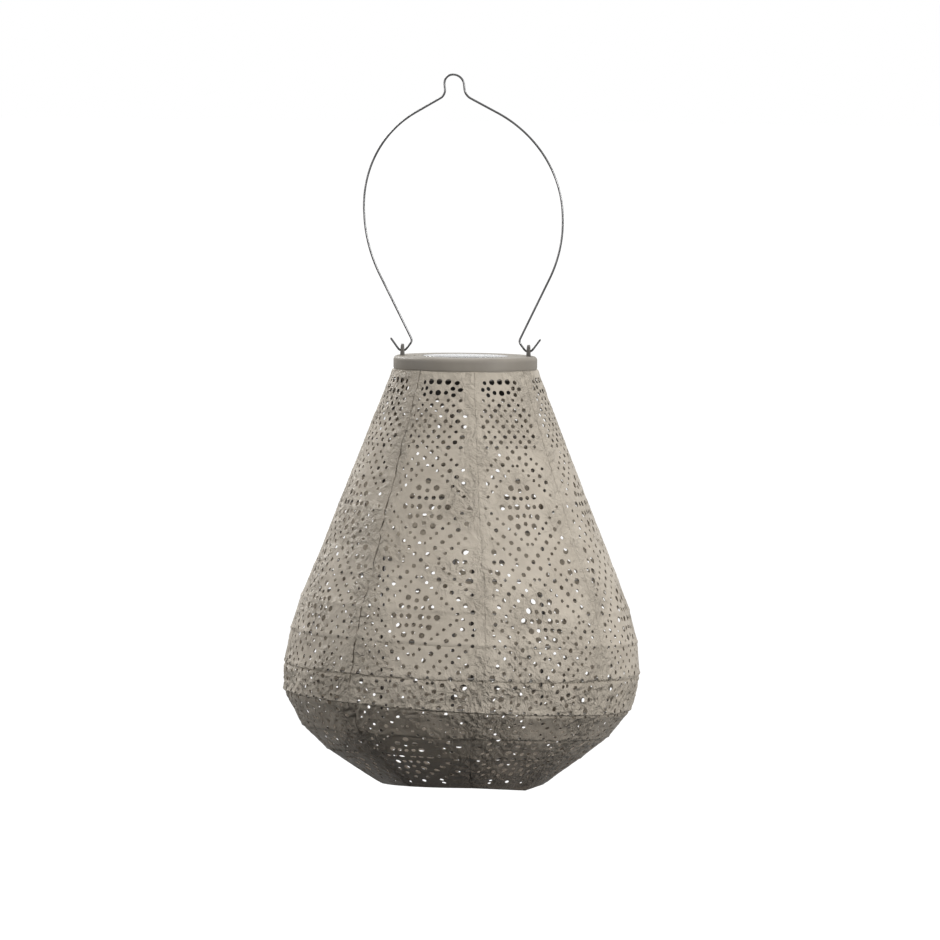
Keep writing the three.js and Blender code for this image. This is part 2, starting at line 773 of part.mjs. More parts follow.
// The slider rests at its off end and travels along +X
function buildSwitch() {
  const plateBase = floorTop + gap;
  const plate = block(sliderLength, sliderWidth, plateBase, plateBase + sliderThickness);
  const knob = block(knobLength, knobWidth, -knobReach, plateBase + joinDepth);
  const slider = carve(plate, { joins: [knob] }).translate(-switchTravel / 2, switchY, 0);
  addToUnit('switch_slider', slider, finishes.slider);
  const bodyBase = plateBase + sliderThickness + gap;
  const body = block(switchLength, switchWidth, bodyBase, boardHeight - gap).translate(0, switchY, 0);
  addToUnit('switch_body', body, finishes.switch);
}

buildShade();
buildUprights();
buildCollar();
buildLugs();
buildHandle();
buildLidAndHousing();
buildBattery();
buildLamp();
buildSwitch();

export default group;
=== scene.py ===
"""Solar hanging lantern: punched fabric shade on wire hoops, collar with a light unit, wire handle."""

import json
import logging
import math
from dataclasses import dataclass, field
from enum import Enum
from functools import cached_property
from typing import NamedTuple

import bpy
import numpy as np
from mathutils import Matrix, Vector
from mathutils.geometry import delaunay_2d_cdt


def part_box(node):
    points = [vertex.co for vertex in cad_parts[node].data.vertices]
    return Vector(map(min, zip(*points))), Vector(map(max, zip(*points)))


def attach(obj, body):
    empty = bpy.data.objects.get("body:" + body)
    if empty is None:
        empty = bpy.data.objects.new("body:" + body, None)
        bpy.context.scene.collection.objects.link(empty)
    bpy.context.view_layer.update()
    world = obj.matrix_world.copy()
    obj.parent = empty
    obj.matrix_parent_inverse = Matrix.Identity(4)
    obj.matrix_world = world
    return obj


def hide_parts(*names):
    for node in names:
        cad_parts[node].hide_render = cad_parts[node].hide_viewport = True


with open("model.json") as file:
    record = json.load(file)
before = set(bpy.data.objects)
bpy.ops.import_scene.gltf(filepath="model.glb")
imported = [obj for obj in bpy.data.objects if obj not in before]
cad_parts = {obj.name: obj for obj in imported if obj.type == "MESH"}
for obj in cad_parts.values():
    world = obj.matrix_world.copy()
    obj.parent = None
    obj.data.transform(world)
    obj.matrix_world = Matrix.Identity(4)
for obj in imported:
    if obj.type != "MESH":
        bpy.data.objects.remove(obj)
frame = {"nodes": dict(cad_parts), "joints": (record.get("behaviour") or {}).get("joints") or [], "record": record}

log = logging.getLogger("lantern")

MM = 0.001
TURN = 2 * math.pi
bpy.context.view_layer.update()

Color = tuple[float, float, float]
Corner = tuple[float, float, float]
Place = tuple[float, float, float]


class Body(str, Enum):
    """Bodies of the lantern that pieces ride on."""

    ROOT = "root"
    HANDLE = "handle"
    LIGHT_UNIT = "light_unit"


@dataclass
class Shell:
    """Mesh in the making: points in millimetres and the faces between them."""

    points: list = field(default_factory=list)
    faces: list = field(default_factory=list)

    def join(self, other: "Shell") -> "Shell":
        """Take in another shell's points and faces.

        Args:
            other: The shell to add.

        Returns:
            This shell.
        """
        start = len(self.points)
        self.points.extend(other.points)
        self.faces.extend([tuple(start + i for i in face) for face in other.faces])
        return self

    def moved(self, matrix: Matrix) -> "Shell":
        """Copy with every point put through a matrix.

        Args:
            matrix: The placing, in millimetres.

        Returns:
            The moved copy.
        """
        return Shell([tuple(matrix @ Vector(p)) for p in self.points], list(self.faces))


@dataclass(frozen=True)
class Piece:
    """What a finished mesh is called, rides on, stands for and is made of."""

    name: str
    body: Body
    slot: str
    replaces: tuple[str, ...] = ()
    crease: float = math.radians(38)

    def build(self, shell: Shell, finishes: "Finishes") -> bpy.types.Object:
        """Make the Blender object and put it on its body.

        Args:
            shell: The mesh, in millimetres.
            finishes: Materials by slot.

        Returns:
            The new object.
        """
        mesh = bpy.data.meshes.new(self.name)
        mesh.from_pydata((np.asarray(shell.points, float) * MM).tolist(), [], shell.faces)
        mesh.shade_smooth()
        mesh.set_sharp_from_angle(angle=self.crease)
        mesh.materials.append(finishes[self.slot])
        piece = bpy.data.objects.new(self.name, mesh)
        bpy.context.scene.collection.objects.link(piece)
        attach(piece, self.body.value)
        if self.replaces:
            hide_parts(*self.replaces)
        return piece


def lathe(profile: list[tuple[float, float]], segments: int) -> Shell:
    """Solid of revolution about Z.

    Args:
        profile: Closed outline as (radius, height), up its outer side; radius 0 lies on the axis.
        segments: Facets round the axis.

    Returns:
        The closed shell.
    """
    shell = Shell()
    rings = []
    for radius, height in profile:
        count = 1 if radius == 0 else segments
        rings.append([len(shell.points) + i for i in range(count)])
        for i in range(count):
            turn = TURN * i / segments
            shell.points.append((radius * math.cos(turn), radius * math.sin(turn), height))
    for lower, upper in zip(rings, rings[1:] + rings[:1]):
        for i in range(segments):
            j = (i + 1) % segments
            ends = ((lower, i), (lower, j), (upper, j), (upper, i))
            corners = dict.fromkeys(ring[k % len(ring)] for ring, k in ends)
            if len(corners) > 2:
                shell.faces.append(tuple(corners))
    return shell


def arc(centre: tuple[float, float], radius: float, start: float, end: float, steps: int) -> list:
    """Points on a round stretch of an outline.

    Args:
        centre: Middle of the arc.
        radius: Its radius.
        start: First angle, in degrees.
        end: Last angle, in degrees.
        steps: Number of chords.

    Returns:
        The points, both ends included.
    """
    turns = [math.radians(start + (end - start) * i / steps) for i in range(steps + 1)]
    return [(centre[0] + radius * math.cos(t), centre[1] + radius * math.sin(t)) for t in turns]


def rounded_route(corners: list[Corner], step: float) -> np.ndarray:
    """Straight runs with an arc at each inner corner.

    Args:
        corners: (x, y, radius) of each corner; the two ends' radii aren't used.
        step: Longest chord of an arc.

    Returns:
        The points of the route, one row each.
    """
    places = [np.array(c[:2]) for c in corners]
    route = [places[0]]
    for before, (x, y, radius), after in zip(places, corners[1:], places[2:]):
        corner = np.array([x, y])
        back = (before - corner) / np.linalg.norm(before - corner)
        on = (after - corner) / np.linalg.norm(after - corner)
        half = math.acos(float(np.clip(back @ on, -1, 1))) / 2
        middle = (back + on) / np.linalg.norm(back + on)
        centre = corner + middle * radius / math.sin(half)
        first = corner + back * radius / math.tan(half) - centre
        last = corner + on * radius / math.tan(half) - centre
        start = math.atan2(first[1], first[0])
        sweep = (math.atan2(last[1], last[0]) - start + math.pi) % TURN - math.pi
        chords = max(4, math.ceil(abs(sweep) * radius / step))
        for i in range(chords + 1):
            turn = start + sweep * i / chords
            route.append(centre + radius * np.array([math.cos(turn), math.sin(turn)]))
    route.append(places[-1])
    return np.array(route)


def wire(route: np.ndarray, radius: float, sides: int, dome_steps: int = 4) -> Shell:
    """Round wire in the XZ plane with domed ends.

    Args:
        route: Middle line as (x, z) rows.
        radius: Radius of the wire.
        sides: Facets round it.
        dome_steps: Rings of each domed end.

    Returns:
        The closed shell.
    """
    along = np.gradient(route, axis=0)
    along /= np.linalg.norm(along, axis=1)[:, None]
    bends = [math.pi / 2 * i / dome_steps for i in range(1, dome_steps)]
    rings = [(route[0] - along[0] * radius * math.sin(b), along[0], math.cos(b)) for b in reversed(bends)]
    rings += [(point, run, 1.0) for point, run in zip(route, along)]
    rings += [(route[-1] + along[-1] * radius * math.sin(b), along[-1], math.cos(b)) for b in bends]
    shell = Shell()
    for middle, run, scale in rings:
        for s in range(sides):
            turn = TURN * s / sides
            aside = radius * scale * math.cos(turn)
            across = radius * scale * math.sin(turn)
            shell.points.append((middle[0] - run[1] * aside, across, middle[1] + run[0] * aside))
    for i in range(len(rings) - 1):
        for s in range(sides):
            a, b = i * sides + s, i * sides + (s + 1) % sides
            shell.faces.append((a, a + sides, b + sides, b))
    first, last = route[0] - along[0] * radius, route[-1] + along[-1] * radius
    shell.points += [(first[0], 0.0, first[1]), (last[0], 0.0, last[1])]
    start_tip, end_tip = len(shell.points) - 2, len(shell.points) - 1
    end = (len(rings) - 1) * sides
    for s in range(sides):
        shell.faces.append((start_tip, s, (s + 1) % sides))
        shell.faces.append((end_tip, end + (s + 1) % sides, end + s))
    return shell


class Graph:
    """Node tree with short calls for adding and linking its nodes."""

    def __init__(self, tree: bpy.types.NodeTree) -> None:
        """Empty the tree and keep it."""
        self.tree = tree
        tree.nodes.clear()

    def add(self, kind: str, inputs: dict | None = None, **settings: object) -> bpy.types.Node:
        """Place a node.

        Args:
            kind: Blender's name for the node's type.
            inputs: Socket name or number to a value, or to the output that feeds it.
            settings: Properties of the node.

        Returns:
            The new node.
        """
        node = self.tree.nodes.new(kind)
        for name, value in settings.items():
            setattr(node, name, value)
        for key, value in (inputs or {}).items():
            if isinstance(value, bpy.types.NodeSocket):
                self.link(value, node.inputs[key])
            else:
                node.inputs[key].default_value = value
        return node

    def link(self, source: bpy.types.NodeSocket, target: bpy.types.NodeSocket) -> None:
        """Feed a node's input from another node's output."""
        self.tree.links.new(source, target)

    def maths(self, operation: str, first: object, second: object = 0.0,
              third: object = 0.0) -> bpy.types.NodeSocket:
        """Result of one sum on numbers or sockets.

        Args:
            operation: Blender's name for the sum.
            first: First value or socket.
            second: Second value or socket.
            third: Third value or socket, for sums that have one.

        Returns:
            The output socket.
        """
        return self.add("ShaderNodeMath", {0: first, 1: second, 2: third}, operation=operation).outputs[0]

    def ramp(self, value: object, low: float, high: float, start: float = 0.0,
             end: float = 1.0) -> bpy.types.NodeSocket:
        """Value carried smoothly from one range to another.

        Args:
            value: The socket to read.
            low: Value that gives start.
            high: Value that gives end.
            start: First result.
            end: Last result.

        Returns:
            The output socket.
        """
        inputs = {"Value": value, "From Min": low, "From Max": high, "To Min": start, "To Max": end}
        return self.add("ShaderNodeMapRange", inputs, interpolation_type="SMOOTHSTEP").outputs["Result"]


class EffectGroups:
    """Node groups that several finishes share, each built when it is first asked for."""

    SCRATCH_FINENESS = 3.0
    BEND_FINENESS = 0.4
    BEND_REACH = 0.008
    FACET_FINENESS = 1.3
    LEAST_CREASED = 0.08
    MOST_CREASED = 0.7
    FOLD_HEIGHT = 0.46
    FACET_HEIGHT = 0.7
    FIBRE_HEIGHT = 0.05

    @staticmethod
    def _open(name: str, inputs: dict[str, tuple[str, object]], outputs: dict[str, str]) -> tuple:
        """Make an empty group with its sockets.

        Args:
            name: Name of the group.
            inputs: Socket name to its type and default.
            outputs: Socket name to its type.

        Returns:
            The graph, its input node and its output node.
        """
        tree = bpy.data.node_groups.new(name, "ShaderNodeTree")
        for label, (kind, default) in inputs.items():
            socket = tree.interface.new_socket(label, in_out="INPUT", socket_type=kind)
            if default is not None:
                socket.default_value = default
        for label, kind in outputs.items():
            tree.interface.new_socket(label, in_out="OUTPUT", socket_type=kind)
        graph = Graph(tree)
        return graph, graph.add("NodeGroupInput"), graph.add("NodeGroupOutput")

    @cached_property
    def tone(self) -> bpy.types.NodeTree:
        """Colour that drifts between two tones in soft patches.

        Returns:
            The node group.
        """
        graph, source, result = self._open("Tone", {
            "Position": ("NodeSocketVector", None),
            "Main": ("NodeSocketColor", (0.5, 0.5, 0.5, 1)),
            "Other": ("NodeSocketColor", (0.4, 0.4, 0.4, 1)),
            "Patches": ("NodeSocketFloat", 40.0),
        }, {"Color": "NodeSocketColor"})
        noise = graph.add("ShaderNodeTexNoise", {
            "Vector": source.outputs["Position"], "Scale": source.outputs["Patches"],
            "Detail": 5.0, "Roughness": 0.6})
        share = graph.ramp(noise.outputs["Fac"], low=0.35, high=0.7)
        mix = graph.add("ShaderNodeMix", data_type="RGBA")
        graph.link(share, mix.inputs[0])
        graph.link(source.outputs["Main"], mix.inputs[6])
        graph.link(source.outputs["Other"], mix.inputs[7])
        graph.link(mix.outputs[2], result.inputs["Color"])
        return graph.tree

    @cached_property
    def grain(self) -> bpy.types.NodeTree:
        """Fine pebbled surface, such as moulded plastic or sprayed paint.

        Returns:
            The node group.
        """
        graph, source, result = self._open("Grain", {
            "Position": ("NodeSocketVector", None),
            "Fineness": ("NodeSocketFloat", 1500.0),
        }, {"Height": "NodeSocketFloat"})
        noise = graph.add("ShaderNodeTexNoise", {
            "Vector": source.outputs["Position"], "Scale": source.outputs["Fineness"],
            "Detail": 3.0, "Roughness": 0.55})
        graph.link(noise.outputs["Fac"], result.inputs["Height"])
        return graph.tree

    @cached_property
    def scuffs(self) -> bpy.types.NodeTree:
        """Mask of rubbed patches and thin scratches from handling.

        Returns:
            The node group.
        """
        graph, source, result = self._open("Scuffs", {
            "Position": ("NodeSocketVector", None),
            "Patches": ("NodeSocketFloat", 60.0),
        }, {"Mask": "NodeSocketFloat"})
        patches = graph.add("ShaderNodeTexNoise", {
            "Vector": source.outputs["Position"], "Scale": source.outputs["Patches"],
            "Detail": 6.0, "Roughness": 0.7})
        scratches = graph.add("ShaderNodeTexNoise", {
            "Vector": source.outputs["Position"],
            "Scale": graph.maths("MULTIPLY", source.outputs["Patches"], self.SCRATCH_FINENESS),
            "Detail": 2.0, "Distortion": 4.0}, noise_type="RIDGED_MULTIFRACTAL")
        rubbed = graph.ramp(patches.outputs["Fac"], low=0.45, high=0.75)
        lines = graph.ramp(scratches.outputs["Fac"], low=0.8, high=1.0)
        graph.link(graph.maths("MAXIMUM", rubbed, lines), result.inputs["Mask"])
        return graph.tree

    @cached_property
    def crinkle(self) -> bpy.types.NodeTree:
        """Sharp small creases over fine fibres, as in crumpled coated non-woven cloth.

        Returns:
            The node group.
        """
        graph, source, result = self._open("Crinkle", {
            "Position": ("NodeSocketVector", None),
            "Creases": ("NodeSocketFloat", 190.0),
            "Patches": ("NodeSocketFloat", 26.0),
            "Fibres": ("NodeSocketFloat", 2600.0),
            "Crumple": ("NodeSocketFloat", 0.0),
        }, {"Height": "NodeSocketFloat"})
        place, creases = source.outputs["Position"], source.outputs["Creases"]
        bent = graph.add("ShaderNodeTexNoise", {
            "Vector": place, "Scale": graph.maths("MULTIPLY", creases, self.BEND_FINENESS), "Detail": 2.0})
        shift = graph.add("ShaderNodeVectorMath", {
            0: bent.outputs["Color"], 3: self.BEND_REACH}, operation="SCALE").outputs[0]
        warped = graph.add("ShaderNodeVectorMath", {0: place, 1: shift}, operation="ADD").outputs[0]
        folds = graph.add("ShaderNodeTexNoise", {
            "Vector": warped, "Scale": creases, "Detail": 3.5, "Roughness": 0.62,
            "Lacunarity": 2.2, "Offset": 1.0, "Gain": 2.0}, noise_type="RIDGED_MULTIFRACTAL")
        facets = graph.add("ShaderNodeTexVoronoi", {
            "Vector": warped, "Scale": graph.maths("MULTIPLY", creases, self.FACET_FINENESS)}, feature="F1")
        fibres = graph.add("ShaderNodeTexNoise", {
            "Vector": place, "Scale": source.outputs["Fibres"], "Detail": 2.0})
        patches = graph.add("ShaderNodeTexNoise", {
            "Vector": place, "Scale": source.outputs["Patches"], "Detail": 3.0, "Roughness": 0.6})
        patchy = graph.ramp(
            patches.outputs["Fac"], low=0.42, high=0.64, start=self.LEAST_CREASED, end=self.MOST_CREASED)
        strength = graph.maths("MINIMUM", graph.maths("ADD", patchy, source.outputs["Crumple"]), 1.0)
        folded = graph.maths("MULTIPLY", folds.outputs["Fac"], self.FOLD_HEIGHT)
        sharp = graph.maths("MULTIPLY_ADD", facets.outputs["Distance"], self.FACET_HEIGHT, folded)
        fibrous = graph.maths("MULTIPLY", fibres.outputs["Fac"], self.FIBRE_HEIGHT)
        graph.link(graph.maths("MULTIPLY_ADD", sharp, strength, fibrous), result.inputs["Height"])
        return graph.tree


EFFECTS = EffectGroups()


def opaque(color: Color) -> tuple[float, float, float, float]:
    """Colour with full alpha, as sockets want it."""
    return (*color, 1.0)


def grey(level: float) -> tuple[float, float, float, float]:
    """Grey with full alpha."""
    return opaque((level, level, level))


@dataclass(frozen=True)
class Finish:
    """Painted, moulded or metal surface, with drifting tone, scuffs and a fine grain."""

    name: str
    main: Color
    other: Color
    roughness: float = 0.45
    spread: float = 0.12
    metallic: float = 0.0
    coat: float = 0.0
    patches: float = 40.0
    scuff_fineness: float = 1.5
    fineness: float = 1500.0
    relief: float = 0.02 * MM
    specular: float = 0.5

    def _color(self, graph: Graph, position: bpy.types.NodeSocket) -> bpy.types.NodeSocket:
        """Colour socket that drifts between the two tones.

        Args:
            graph: The material's graph.
            position: Object position.

        Returns:
            The colour socket.
        """
        tone = graph.add("ShaderNodeGroup", {
            "Position": position, "Main": opaque(self.main), "Other": opaque(self.other),
            "Patches": self.patches}, node_tree=EFFECTS.tone)
        return tone.outputs["Color"]

    def _roughness(self, graph: Graph, position: bpy.types.NodeSocket) -> bpy.types.NodeSocket:
        """Roughness socket, raised where the surface is scuffed.

        Args:
            graph: The material's graph.
            position: Object position.

        Returns:
            The roughness socket.
        """
        scuffs = graph.add("ShaderNodeGroup", {
            "Position": position, "Patches": self.patches * self.scuff_fineness}, node_tree=EFFECTS.scuffs)
        return graph.ramp(scuffs.outputs["Mask"], 0.0, 1.0, self.roughness, self.roughness + self.spread)

    def _normal(self, graph: Graph, position: bpy.types.NodeSocket) -> bpy.types.NodeSocket:
        """Normal socket of the fine grain.

        Args:
            graph: The material's graph.
            position: Object position.

        Returns:
            The normal socket.
        """
        grain = graph.add("ShaderNodeGroup", {
            "Position": position, "Fineness": self.fineness}, node_tree=EFFECTS.grain)
        bump = graph.add("ShaderNodeBump", {
            "Height": grain.outputs["Height"], "Strength": 1.0, "Distance": self.relief})
        return bump.outputs["Normal"]

    def _surface(self, graph: Graph, shader: bpy.types.Node) -> bpy.types.NodeSocket:
        """Shader socket that goes to the output: the Principled shader alone.

        Args:
            graph: The material's graph.
            shader: Its Principled node, with color, roughness and normal linked.

        Returns:
            The shader socket.
        """
        return shader.outputs[0]

    def material(self) -> bpy.types.Material:
        """Build the material.

        Returns:
            The finished material.
        """
        material = bpy.data.materials.new(self.name)
        material.use_nodes = True
        graph = Graph(material.node_tree)
        position = graph.add("ShaderNodeTexCoord").outputs["Object"]
        shader = graph.add("ShaderNodeBsdfPrincipled", {
            "Metallic": self.metallic, "Coat Weight": self.coat, "Coat Roughness": 0.12,
            "Specular IOR Level": self.specular, "Base Color": opaque(self.main)})
        color = self._color(graph, position)
        if color is not None:
            graph.link(color, shader.inputs["Base Color"])
        graph.link(self._roughness(graph, position), shader.inputs["Roughness"])
        graph.link(self._normal(graph, position), shader.inputs["Normal"])
        output = graph.add("ShaderNodeOutputMaterial")
        graph.link(self._surface(graph, shader), output.inputs["Surface"])
        return material


@dataclass(frozen=True)
class FabricFinish(Finish):
    """Coated non-woven cloth that lets some light through, creased along its seams, with painted shade darkening
    it under the belly.
    """

    through: float = 0.03
    glow: Color = (0.62, 0.55, 0.46)
    # Painted shade: dark tone that stands for the shade on the cloth under the belly
    soil: Color = (0.14, 0.117, 0.094)
    creases: float = 190.0
    fibres: float = 2600.0
    depth: float = 1.9 * MM

    def _color(self, graph: Graph, position: bpy.types.NodeSocket) -> bpy.types.NodeSocket:
        """Colour socket that turns to a dark painted shade tone towards the foot, where the cloth faces down.

        Args:
            graph: The material's graph.
            position: Object position.

        Returns:
            The colour socket.
        """
        # Painted shade: the colour is darkened towards the foot to stand for the shade under the belly
        soil = graph.add("ShaderNodeAttribute", attribute_name=Shade.SOIL)
        soiled = graph.add("ShaderNodeMix", {
            0: soil.outputs["Fac"], 7: opaque(self.soil)}, data_type="RGBA")
        graph.link(super()._color(graph, position), soiled.inputs[6])
        return soiled.outputs[2]

    def _normal(self, graph: Graph, position: bpy.types.NodeSocket) -> bpy.types.NodeSocket:
        """Normal socket of the creases.

        Args:
            graph: The material's graph.
            position: Object position.

        Returns:
            The normal socket.
        """
        crumple = graph.add("ShaderNodeAttribute", attribute_name=Shade.CRUMPLE)
        crinkle = graph.add("ShaderNodeGroup", {
            "Position": position, "Creases": self.creases, "Fibres": self.fibres,
            "Crumple": crumple.outputs["Fac"]}, node_tree=EFFECTS.crinkle)
        bump = graph.add("ShaderNodeBump", {
            "Height": crinkle.outputs["Height"], "Strength": 1.0, "Distance": self.depth})
        return bump.outputs["Normal"]

    def _surface(self, graph: Graph, shader: bpy.types.Node) -> bpy.types.NodeSocket:
        """Shader socket with a share of the light let through.

        Args:
            graph: The material's graph.
            shader: Its Principled node, with color, roughness and normal linked.

        Returns:
            The shader socket.
        """
        normal = shader.inputs["Normal"].links[0].from_socket
        glow = graph.add("ShaderNodeBsdfTranslucent", {"Color": opaque(self.glow), "Normal": normal})
        mix = graph.add("ShaderNodeMixShader", {0: self.through, 1: shader.outputs[0], 2: glow.outputs[0]})
        return mix.outputs[0]


@dataclass(frozen=True)
class ClearFinish(Finish):
    """Clear cast resin of one tone."""

    ior: float = 1.5

    def _color(self, graph: Graph, position: bpy.types.NodeSocket) -> None:
        """No colour socket: the main tone stays constant."""

    def _surface(self, graph: Graph, shader: bpy.types.Node) -> bpy.types.NodeSocket:
        """Shader socket of a surface that light goes through.

        Args:
            graph: The material's graph.
            shader: Its Principled node, with roughness and normal linked.

        Returns:
            The shader socket.
        """
        shader.inputs["Transmission Weight"].default_value = 1.0
        shader.inputs["IOR"].default_value = self.ior
        return shader.outputs[0]


@dataclass(frozen=True)
class CellFinish(Finish):
    """Dark silicon cell with thin silver lines and two wide ones across them."""

    silver: Color = (0.62, 0.62, 0.6)
    line_pitch: float = 1.6 * MM
    line_width: float = 0.12 * MM
    bar_offset: float = 8.0 * MM
    bar_width: float = 1.0 * MM

    def _color(self, graph: Graph, position: bpy.types.NodeSocket) -> bpy.types.NodeSocket:
        """Colour socket with the silver lines laid over the dark cell.

        Args:
            graph: The material's graph.
            position: Object position.

        Returns:
            The colour socket.
        """
        axes = graph.add("ShaderNodeSeparateXYZ", {0: position})
        phase = graph.maths("PINGPONG", axes.outputs["X"], self.line_pitch / 2)
        fine = graph.maths("LESS_THAN", phase, self.line_width / 2)
        aside = graph.maths("SUBTRACT", graph.maths("ABSOLUTE", axes.outputs["Y"]), self.bar_offset)
        bars = graph.maths("LESS_THAN", graph.maths("ABSOLUTE", aside), self.bar_width / 2)
        lines = graph.maths("MAXIMUM", fine, bars)
        lined = graph.add("ShaderNodeMix", {0: lines, 7: opaque(self.silver)}, data_type="RGBA")
        graph.link(super()._color(graph, position), lined.inputs[6])
        return lined.outputs[2]


FINISHES = {
    "shade_fabric": FabricFinish(
        "shade fabric", (0.47, 0.42, 0.35), (0.41, 0.363, 0.3), roughness=0.38, spread=0.2,
        patches=55.0, specular=0.12),
    "hoop_wire": Finish(
        "hoop wire", (0.2, 0.187, 0.168), (0.14, 0.13, 0.116), roughness=0.4, metallic=0.3),
    "upright_wire": Finish("upright wire", (0.06, 0.055, 0.05), (0.04, 0.036, 0.033), roughness=0.42),
    "collar_paint": Finish(
        "collar paint", (0.252, 0.229, 0.195), (0.226, 0.204, 0.174), roughness=0.52, spread=0.1,
        specular=0.25, fineness=900.0, relief=0.01 * MM),
    "lug_steel": Finish(
        "lug steel", (0.12, 0.113, 0.105), (0.08, 0.075, 0.07), roughness=0.4, metallic=0.6),
    "handle_steel": Finish(
        "handle steel", (0.14, 0.14, 0.14), (0.1, 0.1, 0.1), roughness=0.24, spread=0.1, metallic=1.0,
        relief=0.004 * MM),
    "solar_cell": CellFinish(
        "solar cell", (0.012, 0.018, 0.045), (0.016, 0.03, 0.07), roughness=0.2, patches=300.0, coat=0.6,
        relief=0.0005 * MM),
    "window_clear": ClearFinish(
        "window resin", (0.96, 0.94, 0.94), (0.9, 0.9, 0.9), roughness=0.06, spread=0.05,
        relief=0.0005 * MM),
    "gasket_rubber": Finish("gasket rubber", (0.012, 0.012, 0.012), (0.02, 0.02, 0.02), roughness=0.8),
    "housing_plastic": Finish(
        "housing plastic", (0.02, 0.02, 0.018), (0.028, 0.027, 0.024), roughness=0.55, fineness=2200.0),
    "battery_sleeve": Finish("battery sleeve", (0.05, 0.2, 0.08), (0.04, 0.16, 0.06), roughness=0.35),
    "contact_metal": Finish(
        "contact metal", (0.55, 0.52, 0.45), (0.45, 0.42, 0.36), roughness=0.3, metallic=1.0),
    "screw_steel": Finish(
        "screw steel", (0.45, 0.45, 0.43), (0.36, 0.36, 0.34), roughness=0.28, metallic=1.0),
    "circuit_board": Finish(
        "circuit board", (0.012, 0.1, 0.03), (0.01, 0.07, 0.022), roughness=0.4, coat=0.3),
    "led_resin": Finish("led resin", (0.9, 0.85, 0.65), (0.85, 0.78, 0.55), roughness=0.12, coat=0.5),
    "reflector_plastic": Finish(
        "reflector", (0.8, 0.8, 0.77), (0.72, 0.72, 0.7), roughness=0.2, coat=0.3),
    "switch_metal": Finish(
        "switch metal", (0.35, 0.35, 0.34), (0.28, 0.28, 0.27), roughness=0.35, metallic=0.9),
    "slider_plastic": Finish(
        "slider plastic", (0.008, 0.008, 0.008), (0.014, 0.014, 0.014), roughness=0.45),
}


class Finishes:
    """Materials by slot, each built once."""

    def __init__(self) -> None:
        """Build every slot's material."""
        self.materials = {slot: finish.material() for slot, finish in FINISHES.items()}

    def __getitem__(self, slot: str) -> bpy.types.Material:
        """Material of a slot."""
        return self.materials[slot]

    def dress_nodes(self) -> None:
        """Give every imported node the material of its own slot."""
        for part in frame["record"]["subparts"]:
            node = frame["nodes"][part["node"]]
            node.data.materials.clear()
            node.data.materials.append(self.materials[part["material_slot"]])


def eased(share: np.ndarray) -> np.ndarray:
    """Share from 0 to 1 with a soft start and end."""
    return share * share * (3 - 2 * share)


def eased_more(share: np.ndarray) -> np.ndarray:
    """Share from 0 to 1 with a start and end so soft that noise shows no edges at its cells."""
    return share * share * share * (share * (share * 6 - 15) + 10)


def bell(away: np.ndarray, reach: float) -> np.ndarray:
    """1 at no distance away, falling softly to 0 past the reach."""
    return np.exp(-((away / reach) ** 2))


class RingNoise:
    """Smooth noise on the shade: it closes round the axis and runs on down the fabric."""

    ROWS = 96
    MARGIN = 8

    def __init__(self, seed: int, cells_round: int, cell: float) -> None:
        """Draw the values.

        Args:
            seed: Seed of the draw.
            cells_round: Cells once round the shade.
            cell: Height of a cell along the fabric, in millimetres.
        """
        self.cells_round = cells_round
        self.cell = cell
        self.values = np.random.default_rng(seed).uniform(-1, 1, (cells_round, self.ROWS))

    def at(self, turn: np.ndarray, along: np.ndarray) -> np.ndarray:
        """Noise between -1 and 1.

        Args:
            turn: Angle round the axis.
            along: Distance down the fabric from the neck hoop, in millimetres.

        Returns:
            One value for each place.
        """
        u = (turn / TURN % 1.0) * self.cells_round
        v = along / self.cell + self.MARGIN
        column, row = np.floor(u).astype(int), np.floor(v).astype(int)
        fu, fv = eased_more(u - column), eased_more(v - row)
        c0, c1 = column % self.cells_round, (column + 1) % self.cells_round
        r0, r1 = row % self.ROWS, (row + 1) % self.ROWS
        upper = self.values[c0, r0] * (1 - fu) + self.values[c1, r0] * fu
        lower = self.values[c0, r1] * (1 - fu) + self.values[c1, r1] * fu
        return upper * (1 - fv) + lower * fv

    def ridged(self, turn: np.ndarray, along: np.ndarray) -> np.ndarray:
        """The noise folded at its middle, which gives sharp crests."""
        return 1 - 2 * np.abs(self.at(turn, along))


@dataclass(frozen=True)
class HoopPlace:
    """Where one packed hoop lies, in millimetres."""

    name: str
    radius: float
    height: float


def read_hoops() -> list[HoopPlace]:
    """Places of the hoops in the frame.

    Returns:
        The hoops, from the neck down to the foot.
    """
    places = []
    for name in sorted((n for n in frame["nodes"] if n.startswith("hoop_")), reverse=True):
        corners = np.array([v.co for v in frame["nodes"][name].data.vertices]) / MM
        radii = np.hypot(corners[:, 0], corners[:, 1])
        places.append(HoopPlace(name, float(radii.mean()), float(corners[:, 2].mean())))
    return places


class HoopSit(NamedTuple):
    """How a hoop sits in the cloth: tilt to the side and forwards, millimetres aside and wider."""

    side: float = 0.0
    fore: float = 0.0
    aside: float = 0.0
    wider: float = 0.0


